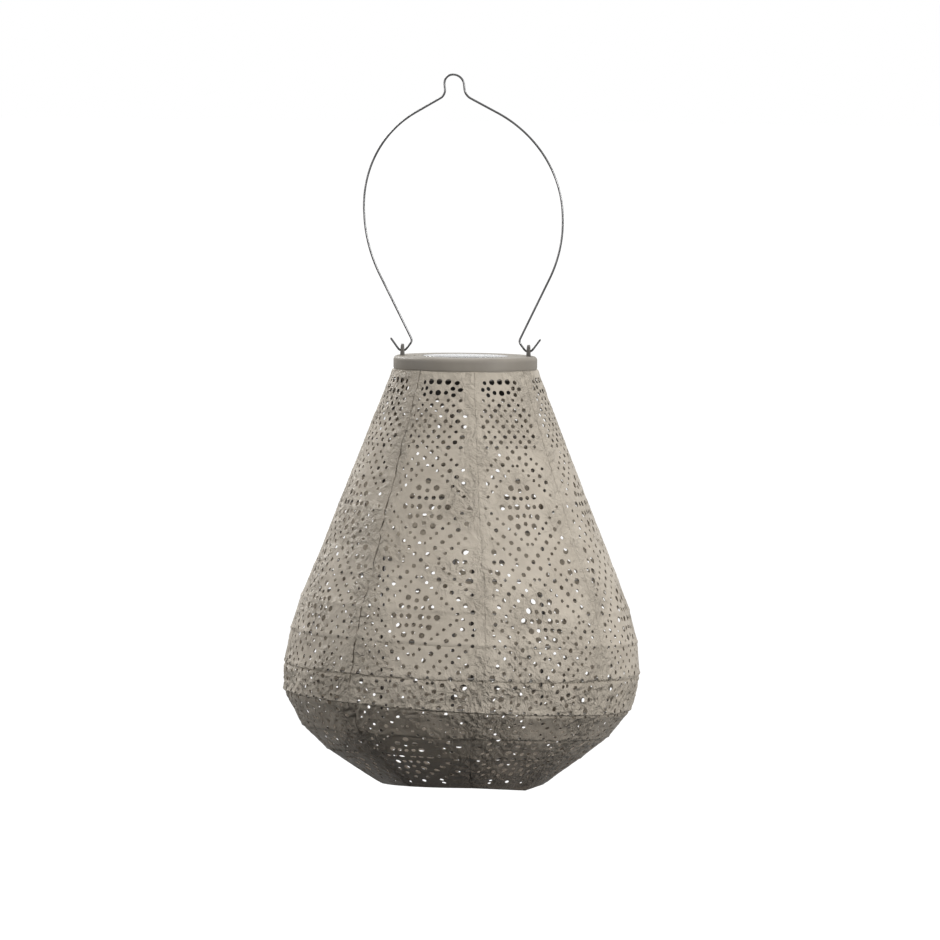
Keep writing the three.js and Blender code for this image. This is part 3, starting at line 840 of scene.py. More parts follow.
@dataclass(frozen=True)
class Wrinkles:
    """Heights and reaches of the cloth's unevenness, in millimetres, and how it shares out.

    The belly's bands are slack, the band under the belly is crumpled, and the cloth is gathered
    beside its seams: names that start with one of these hold there, on top of the plain ones.
    """

    hoop_hold: float = 4.0
    lump: float = 0.22
    belly_lump: float = 0.25
    lump_sag: float = 0.45
    ripple: float = 0.14
    coarse_crease: float = 0.385
    fine_crease: float = 0.2475
    creasing: float = 0.16
    belly_creasing: float = 0.1
    band_creasing: float = 0.5
    seam_creasing: float = 0.55
    seam_creasing_least: float = 0.5
    seam_creasing_band: float = 1.3
    seam_reach: float = 9.0
    pleat: float = 0.35
    pleat_lean: float = 75.0
    pleat_reach: float = 22.0
    ridge: float = 0.1
    belly_ridge: float = 0.35
    ridge_width: float = 0.9
    groove: float = 0.12
    belly_groove: float = 0.75
    groove_offset: float = 1.7
    groove_width: float = 0.7
    finish_reach: float = 8.0
    finish_least: float = 0.5
    finish_band: float = 0.55


@dataclass(frozen=True)
class SeamRun:
    """How the seams wander and gape, in millimetres; one seam does both more than the rest."""

    wander: float = 0.8
    gaping_wander: float = 1.5
    coarse_share: float = 0.7
    fine_share: float = 0.5
    gape: float = 0.06
    gaping_gape: float = 0.95
    gape_mean: float = 0.55
    gape_swing: float = 0.9
    gape_shift: float = 40.0


@dataclass
class ShadeForm:
    """Surface that the fabric lies on: over the hoops, drawn in between them, the low hoops a little askew.

    Stations and slip_start are distances down the fabric from the neck hoop, and a reach is how far
    from its station an effect goes, in millimetres. The painted shade's fade is how fast the shade
    painted on the cloth under the belly sets in.
    SITS holds the hoops that sit askew, by number. GATHERS is how strongly each seam is gathered, and
    SLIPS how many millimetres each gore's pattern lies aside at the neck and at the foot.
    """

    hoops: list[HoopPlace]
    seam_turn: float = math.radians(7)
    gores: int = 8
    wire: float = 1.4
    fabric: float = 0.28
    clear: float = 0.22
    tuck: float = 4.3
    tuck_in: float = 1.4
    foot_run: float = 0.5
    sag: float = 0.14
    belly_sag: float = 0.1
    nub_drop: float = 2.2
    nub_width: float = 1.9
    nub_run: float = 4.0
    # Painted shade under the belly: how fast it sets in, its least share, and how many hoops above the foot it
    # starts
    soil_fade: float = 3.0
    painted_shade_least: float = 0.3
    soiled_hoops: int = 4
    crumpled_station: float = 184.0
    crumpled_reach: float = 12.0
    belly_station: float = 192.0
    belly_reach: float = 34.0
    drift_size: float = 0.35
    slip_start: float = 170.0
    slip_run: float = 60.0
    probe: float = 1.2
    wrinkles: Wrinkles = Wrinkles()
    seam_run: SeamRun = SeamRun()

    SITS = {
        9: HoopSit(side=0.01, aside=0.5),
        8: HoopSit(side=0.02, aside=0.9, wider=0.2),
        7: HoopSit(side=0.036, aside=1.2, wider=0.4),
        6: HoopSit(side=0.034, fore=-0.01, aside=0.8, wider=0.4),
        5: HoopSit(side=0.027, aside=-0.2, wider=0.8),
        4: HoopSit(side=0.051, aside=-2.8, wider=0.8),
        3: HoopSit(side=0.03, fore=-0.028, aside=-3.6, wider=0.8),
        2: HoopSit(side=0.03, fore=-0.037, aside=-4.4, wider=0.2),
        1: HoopSit(fore=-0.02, aside=0.6, wider=-0.6),
    }
    GAPING_SEAM = 5
    NUB_SEAM = 7
    GATHERS = (0.9, 0.6, 0.9, 0.7, 0.8, 1.0, 0.4, 1.0)
    SLIPS = (
        (-2.5, -5.5), (-2.5, 4.5), (4.6, 5.5), (4.6, 5.5),
        (-1.5, 2.0), (-3.0, -7.0), (-2.0, 1.0), (1.0, 3.0),
    )

    def __post_init__(self) -> None:
        """Work out the fabric's line over the hoops, and draw the noises."""
        centres = np.array([(h.radius, h.height) for h in self.hoops])
        runs = np.diff(centres, axis=0)
        runs /= np.linalg.norm(runs, axis=1)[:, None]
        mean = np.vstack([runs[:1], runs[:-1] + runs[1:], runs[-1:]])
        mean /= np.linalg.norm(mean, axis=1)[:, None]
        outward = np.column_stack([-mean[:, 1], mean[:, 0]])
        line = centres + outward * (self.wire / 2 + self.clear + self.fabric / 2)
        steps = np.linalg.norm(np.diff(line, axis=0), axis=1)
        self.stations = np.concatenate([[0.0], np.cumsum(steps)])
        self.length = float(self.stations[-1])
        top = line[0] + np.array([-self.tuck_in, self.tuck])
        foot = line[-1] + runs[-1] * self.foot_run
        self.line_s = np.concatenate([[-self.tuck], self.stations, [self.length + self.foot_run]])
        self.line = np.vstack([top, line, foot])
        numbers = [int(h.name.split("_")[1]) for h in self.hoops]
        self.sits = np.array([self.SITS.get(n, HoopSit()) for n in numbers])
        self.lumps = RingNoise(seed=11, cells_round=28, cell=26.0)
        self.ripples = RingNoise(seed=12, cells_round=96, cell=7.0)
        self.creases = RingNoise(seed=13, cells_round=150, cell=4.2)
        self.creases_fine = RingNoise(seed=14, cells_round=260, cell=2.6)
        self.waves = RingNoise(seed=15, cells_round=8, cell=6.5)
        self.waves_fine = RingNoise(seed=16, cells_round=8, cell=2.8)
        self.drift = RingNoise(seed=17, cells_round=16, cell=30.0)
        self.pleats = RingNoise(seed=18, cells_round=56, cell=17.0)

    def radius(self, s: np.ndarray) -> np.ndarray:
        """Radius of the fabric's line at distances down it."""
        return np.interp(s, self.line_s, self.line[:, 0])

    def half_width(self, s: np.ndarray) -> np.ndarray:
        """Half of a gore's width from seam to seam at distances down it."""
        return self.radius(s) * math.pi / self.gores

    def half_width_at(self, s: float) -> float:
        """Half of a gore's width from seam to seam at one distance down it."""
        return float(self.half_width(np.array([s]))[0])

    def belly(self, s: np.ndarray) -> np.ndarray:
        """Share from 0 to 1 of the slack that the belly's bands have."""
        return bell(s - self.belly_station, self.belly_reach)

    def crumpled(self, s: np.ndarray) -> np.ndarray:
        """Share from 0 to 1 of the crumpling of the band under the belly."""
        return bell(s - self.crumpled_station, self.crumpled_reach)

    def soiled(self, s: np.ndarray) -> np.ndarray:
        """Share from 0 to 1 of the painted shade on the cloth under the belly, which faces down.

        Args:
            s: Distance down the fabric.

        Returns:
            One value for each place.
        """
        start = self.stations[-self.soiled_hoops]
        begun = eased(np.clip((s - start) / self.soil_fade, 0, 1))
        down = np.clip((s - start) / (self.length - start), 0, 1)
        return begun * (self.painted_shade_least + (1 - self.painted_shade_least) * down)

    def gathered(self, turn: np.ndarray) -> np.ndarray:
        """How strongly the nearest seam is gathered."""
        nearest = np.round((turn - self.seam_turn) / (TURN / self.gores)).astype(int) % self.gores
        return np.array(self.GATHERS)[nearest]

    def seam_nearness(self, s: np.ndarray, x: np.ndarray, reach: float) -> np.ndarray:
        """1 on a seam, falling to 0 over a distance from it.

        Args:
            s: Distance down the fabric.
            x: Distance from the gore's middle line.
            reach: How far the seam's effect goes.

        Returns:
            One value for each place.
        """
        return bell(np.clip(self.half_width(s) - np.abs(x), 0, None), reach)

    def creased(self, turn: np.ndarray, s: np.ndarray, x: np.ndarray) -> np.ndarray:
        """Share from 0 to 1 of the small creases that the cloth's finish shows.

        Args:
            turn: Angle round the axis.
            s: Distance down the fabric.
            x: Distance from the gore's middle line.

        Returns:
            One value for each place.
        """
        sizes, band = self.wrinkles, self.crumpled(s)
        seam = self.seam_nearness(s, x, sizes.finish_reach) * self.gathered(turn)
        seam *= sizes.finish_least + (1 - sizes.finish_least) * band
        return np.clip(seam + sizes.finish_band * band, 0, 1)

    def slip(self, gore: int, s: np.ndarray) -> np.ndarray:
        """How far a gore's pattern lies aside at distances down it."""
        neck, foot = self.SLIPS[gore]
        return neck + (foot - neck) * np.clip((s - self.slip_start) / self.slip_run, 0, 1) ** 2

    def seam_wave(self, seam: int, s: np.ndarray) -> np.ndarray:
        """Sideways wander of a seam, in millimetres.

        Args:
            seam: Number of the seam.
            s: Distance down the fabric.

        Returns:
            The shift at each place.
        """
        run = self.seam_run
        turn = np.full_like(s, (seam + 0.5) * TURN / self.gores)
        reach = run.gaping_wander if seam == self.GAPING_SEAM else run.wander
        coarse, fine = self.waves.at(turn, s), self.waves_fine.at(turn, s)
        return reach * (run.coarse_share * coarse + run.fine_share * fine)

    def seam_opening(self, seam: int, s: np.ndarray) -> np.ndarray:
        """How far the cloth draws back from a seam, in millimetres.

        Args:
            seam: Number of the seam.
            s: Distance down the fabric.

        Returns:
            The width at each place.
        """
        run = self.seam_run
        turn = np.full_like(s, (seam + 0.5) * TURN / self.gores)
        uneven = run.gape_mean + run.gape_swing * self.waves_fine.at(turn, s + run.gape_shift)
        return (run.gaping_gape if seam == self.GAPING_SEAM else run.gape) * np.clip(uneven, 0, None)

    def _creases(self, turn: np.ndarray, s: np.ndarray, x: np.ndarray) -> np.ndarray:
        """Height of the small sharp creases.

        Args:
            turn: Angle round the axis.
            s: Distance down the fabric.
            x: Distance from the gore's middle line.

        Returns:
            One height for each place.
        """
        sizes, band = self.wrinkles, self.crumpled(s)
        seam = self.seam_nearness(s, x, sizes.seam_reach) * self.gathered(turn)
        amount = sizes.creasing + sizes.belly_creasing * self.belly(s) + sizes.band_creasing * band
        amount += sizes.seam_creasing * seam * (sizes.seam_creasing_least + sizes.seam_creasing_band * band)
        coarse = sizes.coarse_crease * self.creases.ridged(turn, s)
        return amount * (coarse + sizes.fine_crease * self.creases_fine.ridged(turn, s))

    def _pleats(self, turn: np.ndarray, s: np.ndarray, x: np.ndarray) -> np.ndarray:
        """Height of the slanting pleats that the slack cloth falls into.

        Args:
            turn: Angle round the axis.
            s: Distance down the fabric.
            x: Distance from the gore's middle line.

        Returns:
            One height for each place.
        """
        sizes = self.wrinkles
        slanting = turn + (s - self.belly_station) / sizes.pleat_lean
        slack = self.crumpled(s) + self.belly(s) * self.seam_nearness(s, x, sizes.pleat_reach)
        return sizes.pleat * self.pleats.ridged(slanting, s) * slack

    def _hoop_marks(self, s: np.ndarray) -> np.ndarray:
        """Height of the ridge over each hoop and of the groove below it.

        Args:
            s: Distance down the fabric.

        Returns:
            One height for each place.
        """
        sizes, belly = self.wrinkles, self.belly(s)
        ridge = sizes.ridge + sizes.belly_ridge * belly
        groove = sizes.groove + sizes.belly_groove * belly
        height = np.zeros_like(s)
        for station in self.stations:
            height += ridge * bell(s - station, sizes.ridge_width)
            height -= groove * bell(s - station - sizes.groove_offset, sizes.groove_width)
        return height

    def relief(self, turn: np.ndarray, s: np.ndarray, x: np.ndarray) -> np.ndarray:
        """Height of the fabric over its line, outward, in millimetres.

        Args:
            turn: Angle round the axis.
            s: Distance down the fabric.
            x: Distance from the gore's middle line.

        Returns:
            One height for each place.
        """
        sizes, belly, lump = self.wrinkles, self.belly(s), self.lumps.at(turn, s)
        index = np.clip(np.searchsorted(self.stations, s) - 1, 0, len(self.stations) - 2)
        start, end = self.stations[index], self.stations[index + 1]
        share = np.clip((s - start) / (end - start), 0, 1)
        near_hoop = np.minimum(np.abs(s - start), np.abs(s - end))
        free = eased(np.clip(near_hoop / sizes.hoop_hold, 0, 1))
        sag = (self.sag + self.belly_sag * belly) * 4 * share * (1 - share) * (1 + sizes.lump_sag * lump)
        lumps = (sizes.lump + sizes.belly_lump * belly) * lump + sizes.ripple * self.ripples.at(turn, s)
        loose = lumps + self._creases(turn, s, x) + self._pleats(turn, s, x)
        return loose * free - sag + self._hoop_marks(s)

    def nub(self, turn: np.ndarray, s: np.ndarray) -> np.ndarray:
        """How far the bunched end of one seam hangs below the foot, in millimetres.

        Args:
            turn: Angle round the axis.
            s: Distance down the fabric.

        Returns:
            One drop for each place.
        """
        seam = self.seam_turn + self.NUB_SEAM * TURN / self.gores
        away = ((turn - seam + math.pi) % TURN - math.pi) * self.hoops[-1].radius
        low = np.clip((s - self.length + self.nub_run) / self.nub_run, 0, 1)
        return self.nub_drop * bell(away, self.nub_width) * low * low

    def place(self, turn: np.ndarray, s: np.ndarray, lift: np.ndarray) -> np.ndarray:
        """Points on the shade.

        Args:
            turn: Angle round the axis.
            s: Distance down the fabric.
            lift: Distance out from the fabric's line.

        Returns:
            One (x, y, z) row for each place, in millimetres.
        """
        ahead, behind = (
            np.column_stack([np.interp(s + reach, self.line_s, self.line[:, i]) for i in (0, 1)])
            for reach in (self.probe, -self.probe))
        run = ahead - behind
        run /= np.linalg.norm(run, axis=1)[:, None]
        side, fore, aside, wider = (np.interp(s, self.stations, column) for column in self.sits.T)
        radius = self.radius(s) - run[:, 1] * lift + wider
        height = np.interp(s, self.line_s, self.line[:, 1]) + run[:, 0] * lift
        x, y = radius * np.cos(turn), radius * np.sin(turn)
        return np.column_stack([x + aside, y, height - side * x + fore * y - self.nub(turn, s)])


class Punch(Enum):
    """Diameters of the punched holes at the belly, in millimetres, with the corners each is drawn with."""

    LARGE = (3.5, 14)
    MEDIUM = (2.6, 12)
    SMALL = (1.95, 10)


@dataclass(frozen=True)
class Hole:
    """One punched hole, in the flat gore."""

    x: float
    s: float
    radius: float
    corners: int


@dataclass
class PunchedLattice:
    """Traditional lozenge trellis of dots with a rosette of dots in each lozenge.

    Rosettes lie on the gore's middle line, seam rosettes on its seams, and the trellis's rows cross at
    the crossings, all by distance down the fabric. A field of dots fills the neck. ROSETTE and NECK
    give one quarter of a rosette and of the half one under the collar, as (across, down) places.
    """

    form: ShadeForm
    rosettes: tuple[float, ...] = (75.5, 141.0, 233.0)
    seam_rosettes: tuple[float, ...] = (107.5, 185.0)
    crossings: tuple[float, ...] = (43.0, 107.2, 173.0, 197.0, 257.0)
    field_start: float = 12.5
    field_end: float = 42.0
    field_pitch: float = 3.1
    field_every: int = 3
    slope: float = 0.97
    row_gap: float = 6.2
    neck_gap: float = 4.8
    wide_pitch: float = 5.3
    fine_pitch: float = 4.3
    full_width: float = 33.0
    least_scale: float = 0.93
    least_gap: float = 0.8
    seam_margin: float = 3.2
    end_margin: float = 1.2
    hem: float = 2.5
    row_holes: int = 60
    field_columns: int = 24
    holes: list[Hole] = field(default_factory=list)

    MIDDLE = 1e-6
    ROSETTE = (
        (Punch.LARGE, ((3.5, 0.0), (12.6, 0.0), (8.7, 6.0), (5.2, 11.2), (0.0, 15.2))),
        (Punch.MEDIUM, ((7.9, 0.0), (4.2, 5.4), (0.0, 5.0), (0.0, 9.7))),
    )
    NECK = (
        (Punch.LARGE, ((0.0, 1.6), (4.9, 1.7), (0.0, 8.2))),
        (Punch.MEDIUM, ((0.0, 4.9), (9.6, 2.2), (7.8, 5.6), (4.4, 8.0), (11.5, 6.2), (8.6, 9.4))),
    )

    def scale(self, s: float) -> float:
        """Size of the punches at a height, smaller towards the neck and the foot."""
        width = self.form.half_width_at(s)
        return min(self.least_scale + (1 - self.least_scale) * width / self.full_width, 1.0)

    def _try(self, x: float, s: float, punch: Punch) -> None:
        """Punch a hole and its mirror image where they have room.

        Args:
            x: Distance from the gore's middle line.
            s: Distance down the fabric.
            punch: Size of the hole.
        """
        radius = punch.value[0] / 2 * self.scale(s)
        inside = 0.0 < s < self.form.length - self.end_margin - radius - self.hem
        if not inside or abs(x) + radius > self.form.half_width_at(s) - self.seam_margin:
            return
        central = abs(x) < self.MIDDLE
        if not central and abs(x) < radius + self.least_gap / 2:
            return
        reach = radius + self.least_gap
        if any((h.x - x) ** 2 + (h.s - s) ** 2 < (h.radius + reach) ** 2 for h in self.holes):
            return
        for side in ((x,) if central else (x, -x)):
            self.holes.append(Hole(side, s, radius, punch.value[1]))

    def _group(self, x: float, s: float, punch: Punch, offsets: tuple) -> None:
        """Punch one size of a rosette's holes in its four quarters.

        Args:
            x: Distance of its middle from the gore's middle line.
            s: Distance of its middle down the fabric.
            punch: Size of the holes.
            offsets: Their places in one quarter.
        """
        for across, down in offsets:
            for side in (1, -1):
                for end in (1, -1):
                    self._try(abs(x + side * across), s + end * down, punch)

    def _row(self, x: float, s: float, down: int, punch: Punch, first: float, pitch: float) -> None:
        """Punch a slanting row from its inner end out to the seam.

        Args:
            x: Distance of the inner end from the gore's middle line.
            s: Distance of the inner end down the fabric.
            down: 1 for a row that runs down, -1 for one that runs up.
            punch: Size of the holes.
            first: Distance along the row to the first hole.
            pitch: Distance from hole to hole.
        """
        stretch = math.hypot(1.0, self.slope)
        for step in range(self.row_holes):
            across = (first + step * pitch) / stretch
            self._try(x + across, s + down * across * self.slope, punch)

    def _trellis(self, punch: Punch, aside: float, first: float, pitch: float) -> None:
        """Punch the rows that cross on the middle line, or the rows beside them.

        Args:
            punch: Size of the holes.
            aside: Share of the row gap between these rows and the crossing ones.
            first: Share of the pitch from a row's inner end to its first hole.
            pitch: Distance from hole to hole.
        """
        for crossing in self.crossings:
            gap = self.neck_gap if crossing < self.rosettes[0] else self.row_gap
            shift = aside * gap * math.hypot(1.0, self.slope)
            for down in ((1,) if crossing < self.rosettes[0] else (1, -1)):
                self._row(0.0, crossing + down * shift, down, punch, first * pitch, pitch)
                if aside:
                    self._row(shift / self.slope, crossing, down, punch, first * pitch, pitch)

    def _field(self) -> None:
        """Fill the neck with slanting rows of dots, every third row in each direction of larger ones."""
        rows = round((self.field_end - self.field_start) / self.field_pitch)
        for row in range(rows):
            for column in range(row % 2, self.field_columns, 2):
                rising, falling = (column + row) // 2, (column - row) // 2
                wide = rising % self.field_every == 0 or falling % self.field_every == 0
                place = column * self.field_pitch, self.field_start + row * self.field_pitch
                self._try(*place, Punch.MEDIUM if wide else Punch.SMALL)

    def punch(self) -> list[Hole]:
        """Lay the whole pattern out, the large holes first.

        Returns:
            The holes of one gore.
        """
        for neck, (size, offsets) in zip(self.NECK, self.ROSETTE):
            self._group(0.0, 0.0, *neck)
            for row in self.rosettes:
                self._group(0.0, row, size, offsets)
            for row in self.seam_rosettes:
                self._group(self.form.half_width_at(row), row, size, offsets)
        self._field()
        self._trellis(Punch.MEDIUM, 0.0, 0.0, self.wide_pitch)
        self._trellis(Punch.SMALL, 1.0, 0.5, self.fine_pitch)
        return self.holes


class SpacedPoints:
    """Points of the flat gore that keep their distance from each other and from the holes."""

    CELL = 4.0

    def __init__(self, holes: list[Hole], clear: float) -> None:
        """Note where the holes are.

        Args:
            holes: The punched holes.
            clear: Least distance from a hole's edge.
        """
        self.points: list[tuple[float, float]] = []
        self.clear = clear
        self.near: dict[tuple[int, int], list[tuple[float, float]]] = {}
        self.holes: dict[tuple[int, int], list[Hole]] = {}
        for hole in holes:
            self.holes.setdefault(self._cell(hole.x, hole.s), []).append(hole)

    def _cell(self, x: float, s: float) -> tuple[int, int]:
        """Cell of the search grid that a place lies in."""
        return math.floor(x / self.CELL), math.floor(s / self.CELL)

    def _around(self, table: dict, x: float, s: float) -> list:
        """Entries of a table in the cells round a place."""
        column, row = self._cell(x, s)
        return [e for i in (-1, 0, 1) for j in (-1, 0, 1) for e in table.get((column + i, row + j), [])]

    def offer(self, x: float, s: float, spacing: float) -> None:
        """Take a point if it has room.

        Args:
            x: Distance from the gore's middle line.
            s: Distance down the fabric.
            spacing: Least distance from the points taken before.
        """
        if any((h.x - x) ** 2 + (h.s - s) ** 2 < (h.radius + self.clear) ** 2
               for h in self._around(self.holes, x, s)):
            return
        if any((px - x) ** 2 + (ps - s) ** 2 < spacing**2 for px, ps in self._around(self.near, x, s)):
            return
        self.points.append((x, s))
        self.near.setdefault(self._cell(x, s), []).append((x, s))


@dataclass
class FlatGore:
    """One gore as it is cut: its outline with seam allowances, its holes, and triangles between them.

    The allowance is notched at each hoop and at both ends. A step is the distance between rows or
    columns of points, and a spacing the least distance that a point keeps from the others; in the
    open cloth the spacing is a share of the step.
    """

    form: ShadeForm
    holes: list[Hole]
    fold: float = 0.22
    seam_gap: float = 0.05
    allowance: float = 3.2
    notched: float = 0.5
    notch: float = 2.4
    notch_slope: float = 1.5
    end_notch: float = 15.0
    end_slope: float = 4.0
    edge_step: float = 1.7
    end_clear: float = 0.8
    hole_clear: float = 0.75
    seam_columns: tuple[float, ...] = (0.0, -1.1, -2.4, -3.8, -5.3, -6.9, -8.6, -10.4)
    seam_step: float = 1.3
    seam_spacing: float = 0.25
    fold_steps: int = 3
    hoop_rows: tuple[float, ...] = (-1.6, -0.7, 0.0, 0.8, 1.7, 2.7)
    hoop_step: float = 1.9
    hoop_inset: float = 0.5
    hoop_spacing: float = 0.75
    open_step: float = 2.2
    belly_step: float = 1.5
    open_inset: float = 1.0
    open_spacing: float = 0.55
    row_pitch: float = 0.87
    touching: float = 1e-7

    def fold_start(self, s: np.ndarray) -> np.ndarray:
        """Distance from the middle line at which the cloth turns in at the seam."""
        return self.form.half_width(s) - self.seam_gap - self.fold

    def edge(self, s: np.ndarray) -> np.ndarray:
        """Distance from the middle line to the cut edge, notched at the hoops and at both ends.

        Args:
            s: Distance down the fabric.

        Returns:
            One distance for each place.
        """
        near = np.min(np.abs(s[:, None] - self.form.stations[None, :]), axis=1)
        full = np.clip((near - self.notch) / self.notch_slope, 0, 1)
        ends = np.minimum(s + self.end_slope, self.form.length - s - self.end_notch)
        full = full * np.clip(ends / self.end_slope, 0, 1)
        return self.fold_start(s) + self.fold * math.pi / 2 + self.notched + self.allowance * full

    def _width(self, s: float) -> float:
        """Distance from the middle line to the fold at one distance down the gore."""
        return float(self.fold_start(np.array([s]))[0])

    def outline(self) -> tuple[np.ndarray, np.ndarray]:
        """Heights and half widths of the cut edge.

        Returns:
            Distances down the fabric, and the edge's distance from the middle line at each.
        """
        start, end = self.form.line_s[0], self.form.line_s[-1]
        s = np.linspace(start, end, math.ceil((end - start) / self.edge_step) + 1)
        return s, self.edge(s)

    def _fill(self, end_x: float) -> list[tuple[float, float]]:
        """Points between the outline and the holes.

        Args:
            end_x: Half width of the widest row.

        Returns:
            The points.
        """
        bag = SpacedPoints(self.holes, self.hole_clear)
        start, end = self.form.line_s[0] + self.end_clear, self.form.line_s[-1] - self.end_clear
        quarter = self.fold * math.pi / 2
        fold_columns = [quarter * (i + 1) / self.fold_steps for i in range(self.fold_steps)]
        for s in np.arange(start, end, self.seam_step):
            for column in (*fold_columns, *self.seam_columns):
                for side in (1, -1):
                    bag.offer(side * (self._width(s) + column), float(s), self.seam_spacing)
        for station in self.form.stations:
            for row in self.hoop_rows:
                s = float(station + row)
                if not start < s < end:
                    continue
                for x in np.arange(self.hoop_inset - self._width(s), self._width(s), self.hoop_step):
                    bag.offer(float(x), s, self.hoop_spacing)
        s, row = start, 0
        while s < end:
            step = self.open_step + (self.belly_step - self.open_step) * float(self.form.belly(s))
            for x in np.arange(-end_x + step / 2 * (row % 2), end_x, step):
                if abs(x) < self._width(s) - self.open_inset:
                    bag.offer(float(x), s, step * self.open_spacing)
            s, row = s + step * self.row_pitch, row + 1
        return bag.points

    def triangles(self) -> tuple[np.ndarray, np.ndarray]:
        """Triangulate the cloth between the outline and the holes.

        Returns:
            Flat points as (x, s) rows, and triangles as rows of three point numbers, turned so that
            they face outward once the gore is laid on the shade.
        """
        s, half = self.outline()
        outline = [(float(h), float(v)) for v, h in zip(s, half)]
        outline += [(-h, v) for h, v in reversed(outline)]
        points = [Vector(p) for p in outline]
        count = len(outline)
        edges = [(i, (i + 1) % count) for i in range(count)]
        owner = [-1] * count
        for number, hole in enumerate(self.holes):
            first = len(points)
            for corner in range(hole.corners):
                turn = TURN * (corner + 0.5) / hole.corners
                across, down = hole.radius * math.cos(turn), hole.radius * math.sin(turn)
                points.append(Vector((hole.x + across, hole.s + down)))
                edges.append((first + corner, first + (corner + 1) % hole.corners))
                owner.append(number)
        inner = self._fill(float(half.max()))
        points += [Vector(p) for p in inner]
        owner += [-1] * len(inner)
        found, _, faces, originals, _, _ = delaunay_2d_cdt(points, edges, [], 0, self.touching)
        flat = np.array([(p.x, p.y) for p in found])
        owners = [{owner[o] for o in group if owner[o] >= 0} for group in originals]
        kept = []
        for face in faces:
            a, b, c = face
            middle = flat[[a, b, c]].mean(axis=0)
            outside = abs(middle[0]) > np.interp(middle[1], s, half)
            in_hole = owners[a] & owners[b] & owners[c]
            if not outside and not in_hole:
                kept.append((c, b, a))
        return flat, np.array(kept)


@dataclass
class Shade:
    """The eight gores of punched cloth."""

    form: ShadeForm
    finishes: Finishes
    seam_pull: float = 8.0

    CRUMPLE = "crumple"
    SOIL = "soil"

    def __post_init__(self) -> None:
        """Lay out the pattern and triangulate one flat gore."""
        self.flat = FlatGore(self.form, PunchedLattice(self.form).punch())
        self.points, self.triangles = self.flat.triangles()
        log.info("flat gore: %d holes, %d points, %d triangles",
                 len(self.flat.holes), len(self.points), len(self.triangles))

    def _laid(self, number: int) -> tuple[np.ndarray, np.ndarray]:
        """Lay the flat gore on the shade.

        Args:
            number: Number of the gore, from 0.

        Returns:
            Points of the cloth's middle layer, how crumpled it is at each, and how much painted shade it gets
            there.
        """
        form, flat = self.form, self.flat
        x, s = self.points.T
        centre = form.seam_turn + (number + 0.5) * TURN / form.gores
        half = form.half_width(s)
        start = flat.fold_start(s)
        past = np.clip(np.abs(x) - start, 0, None)
        bend = np.clip(past / flat.fold, 0, math.pi / 2)
        inward = flat.fold * (1 - np.cos(bend)) + np.clip(past - flat.fold * math.pi / 2, 0, None)
        across = np.sign(x) * (np.minimum(np.abs(x), start) + flat.fold * np.sin(bend))
        turn = centre + across / half * math.pi / form.gores
        drift = form.drift_size * form.drift.at(turn, s) + form.slip(number, s)
        drift *= 1 - np.clip(np.abs(across) / half, 0, 1) ** 3
        after = (number + 1) % form.gores
        from_left, from_right = (bell(half + side * across, self.seam_pull) for side in (1, -1))
        left = (form.seam_wave(number, s) + form.seam_opening(number, s) / 2) * from_left
        right = (form.seam_wave(after, s) - form.seam_opening(after, s) / 2) * from_right
        turn = turn + (left + right + drift) / form.radius(s)
        lift = form.relief(turn, s, across) - inward
        return form.place(turn, s, lift), np.column_stack([form.creased(turn, s, across), form.soiled(s)])

    def _normals(self, laid: np.ndarray) -> np.ndarray:
        """Outward direction of the cloth at each point.

        Args:
            laid: Points of the middle layer.

        Returns:
            One unit row for each point.
        """
        a, b, c = (laid[column] for column in self.triangles.T)
        faces = np.cross(b - a, c - a)
        normals = np.zeros_like(laid)
        for column in self.triangles.T:
            np.add.at(normals, column, faces)
        lengths = np.linalg.norm(normals, axis=1)
        lengths[lengths == 0] = 1
        return normals / lengths[:, None]

    def _gore_shell(self, laid: np.ndarray) -> Shell:
        """Give the cloth its thickness.

        Args:
            laid: Points of the middle layer.

        Returns:
            The closed shell, its outer skin first.
        """
        offset = self._normals(laid) * self.form.fabric / 2
        count = len(laid)
        faces = [tuple(int(i) for i in t) for t in self.triangles]
        used = [edge for a, b, c in faces for edge in ((a, b), (b, c), (c, a))]
        known = set(used)
        walls = [(b, a, a + count, b + count) for a, b in used if (b, a) not in known]
        under = [(c + count, b + count, a + count) for a, b, c in faces]
        return Shell([*(laid + offset).tolist(), *(laid - offset).tolist()], faces + under + walls)

    def build(self) -> None:
        form = self.form
        s, half = self.flat.outline()
        for number in range(form.gores):
            laid, state = self._laid(number)
            piece = Piece(f"gore_{number + 1}", Body.ROOT, "shade_fabric", (f"shade_panel_{number + 1}",))
            made = piece.build(self._gore_shell(laid), self.finishes)
            # The second attribute carries the share of painted shade under the belly
            for name, values in zip((self.CRUMPLE, self.SOIL), state.T):
                layer = made.data.attributes.new(name, "FLOAT", "POINT")
                layer.data.foreach_set("value", np.tile(values, 2).astype(np.float32))
        log.info("gores: %d", form.gores)


@dataclass
class Hoops:
    """The sprung wire hoops inside the shade."""

    form: ShadeForm
    finishes: Finishes
    segments: int = 128
    sides: int = 12

    def build(self) -> None:
        """Build every hoop, tilted as the cloth over it is."""
        for place, (side, fore, aside, wider) in zip(self.form.hoops, self.form.sits):
            centre = place.radius + wider, place.height
            section = arc(centre, self.form.wire / 2, -90, 270, self.sides)[:-1]
            ring = lathe(section, self.segments)
            ring.points = [(x + aside, y, z - side * x + fore * y) for x, y, z in ring.points]
            Piece(f"wire_{place.name}", Body.ROOT, "hoop_wire", (place.name,)).build(ring, self.finishes)
        log.info("hoops: %d", len(self.form.hoops))


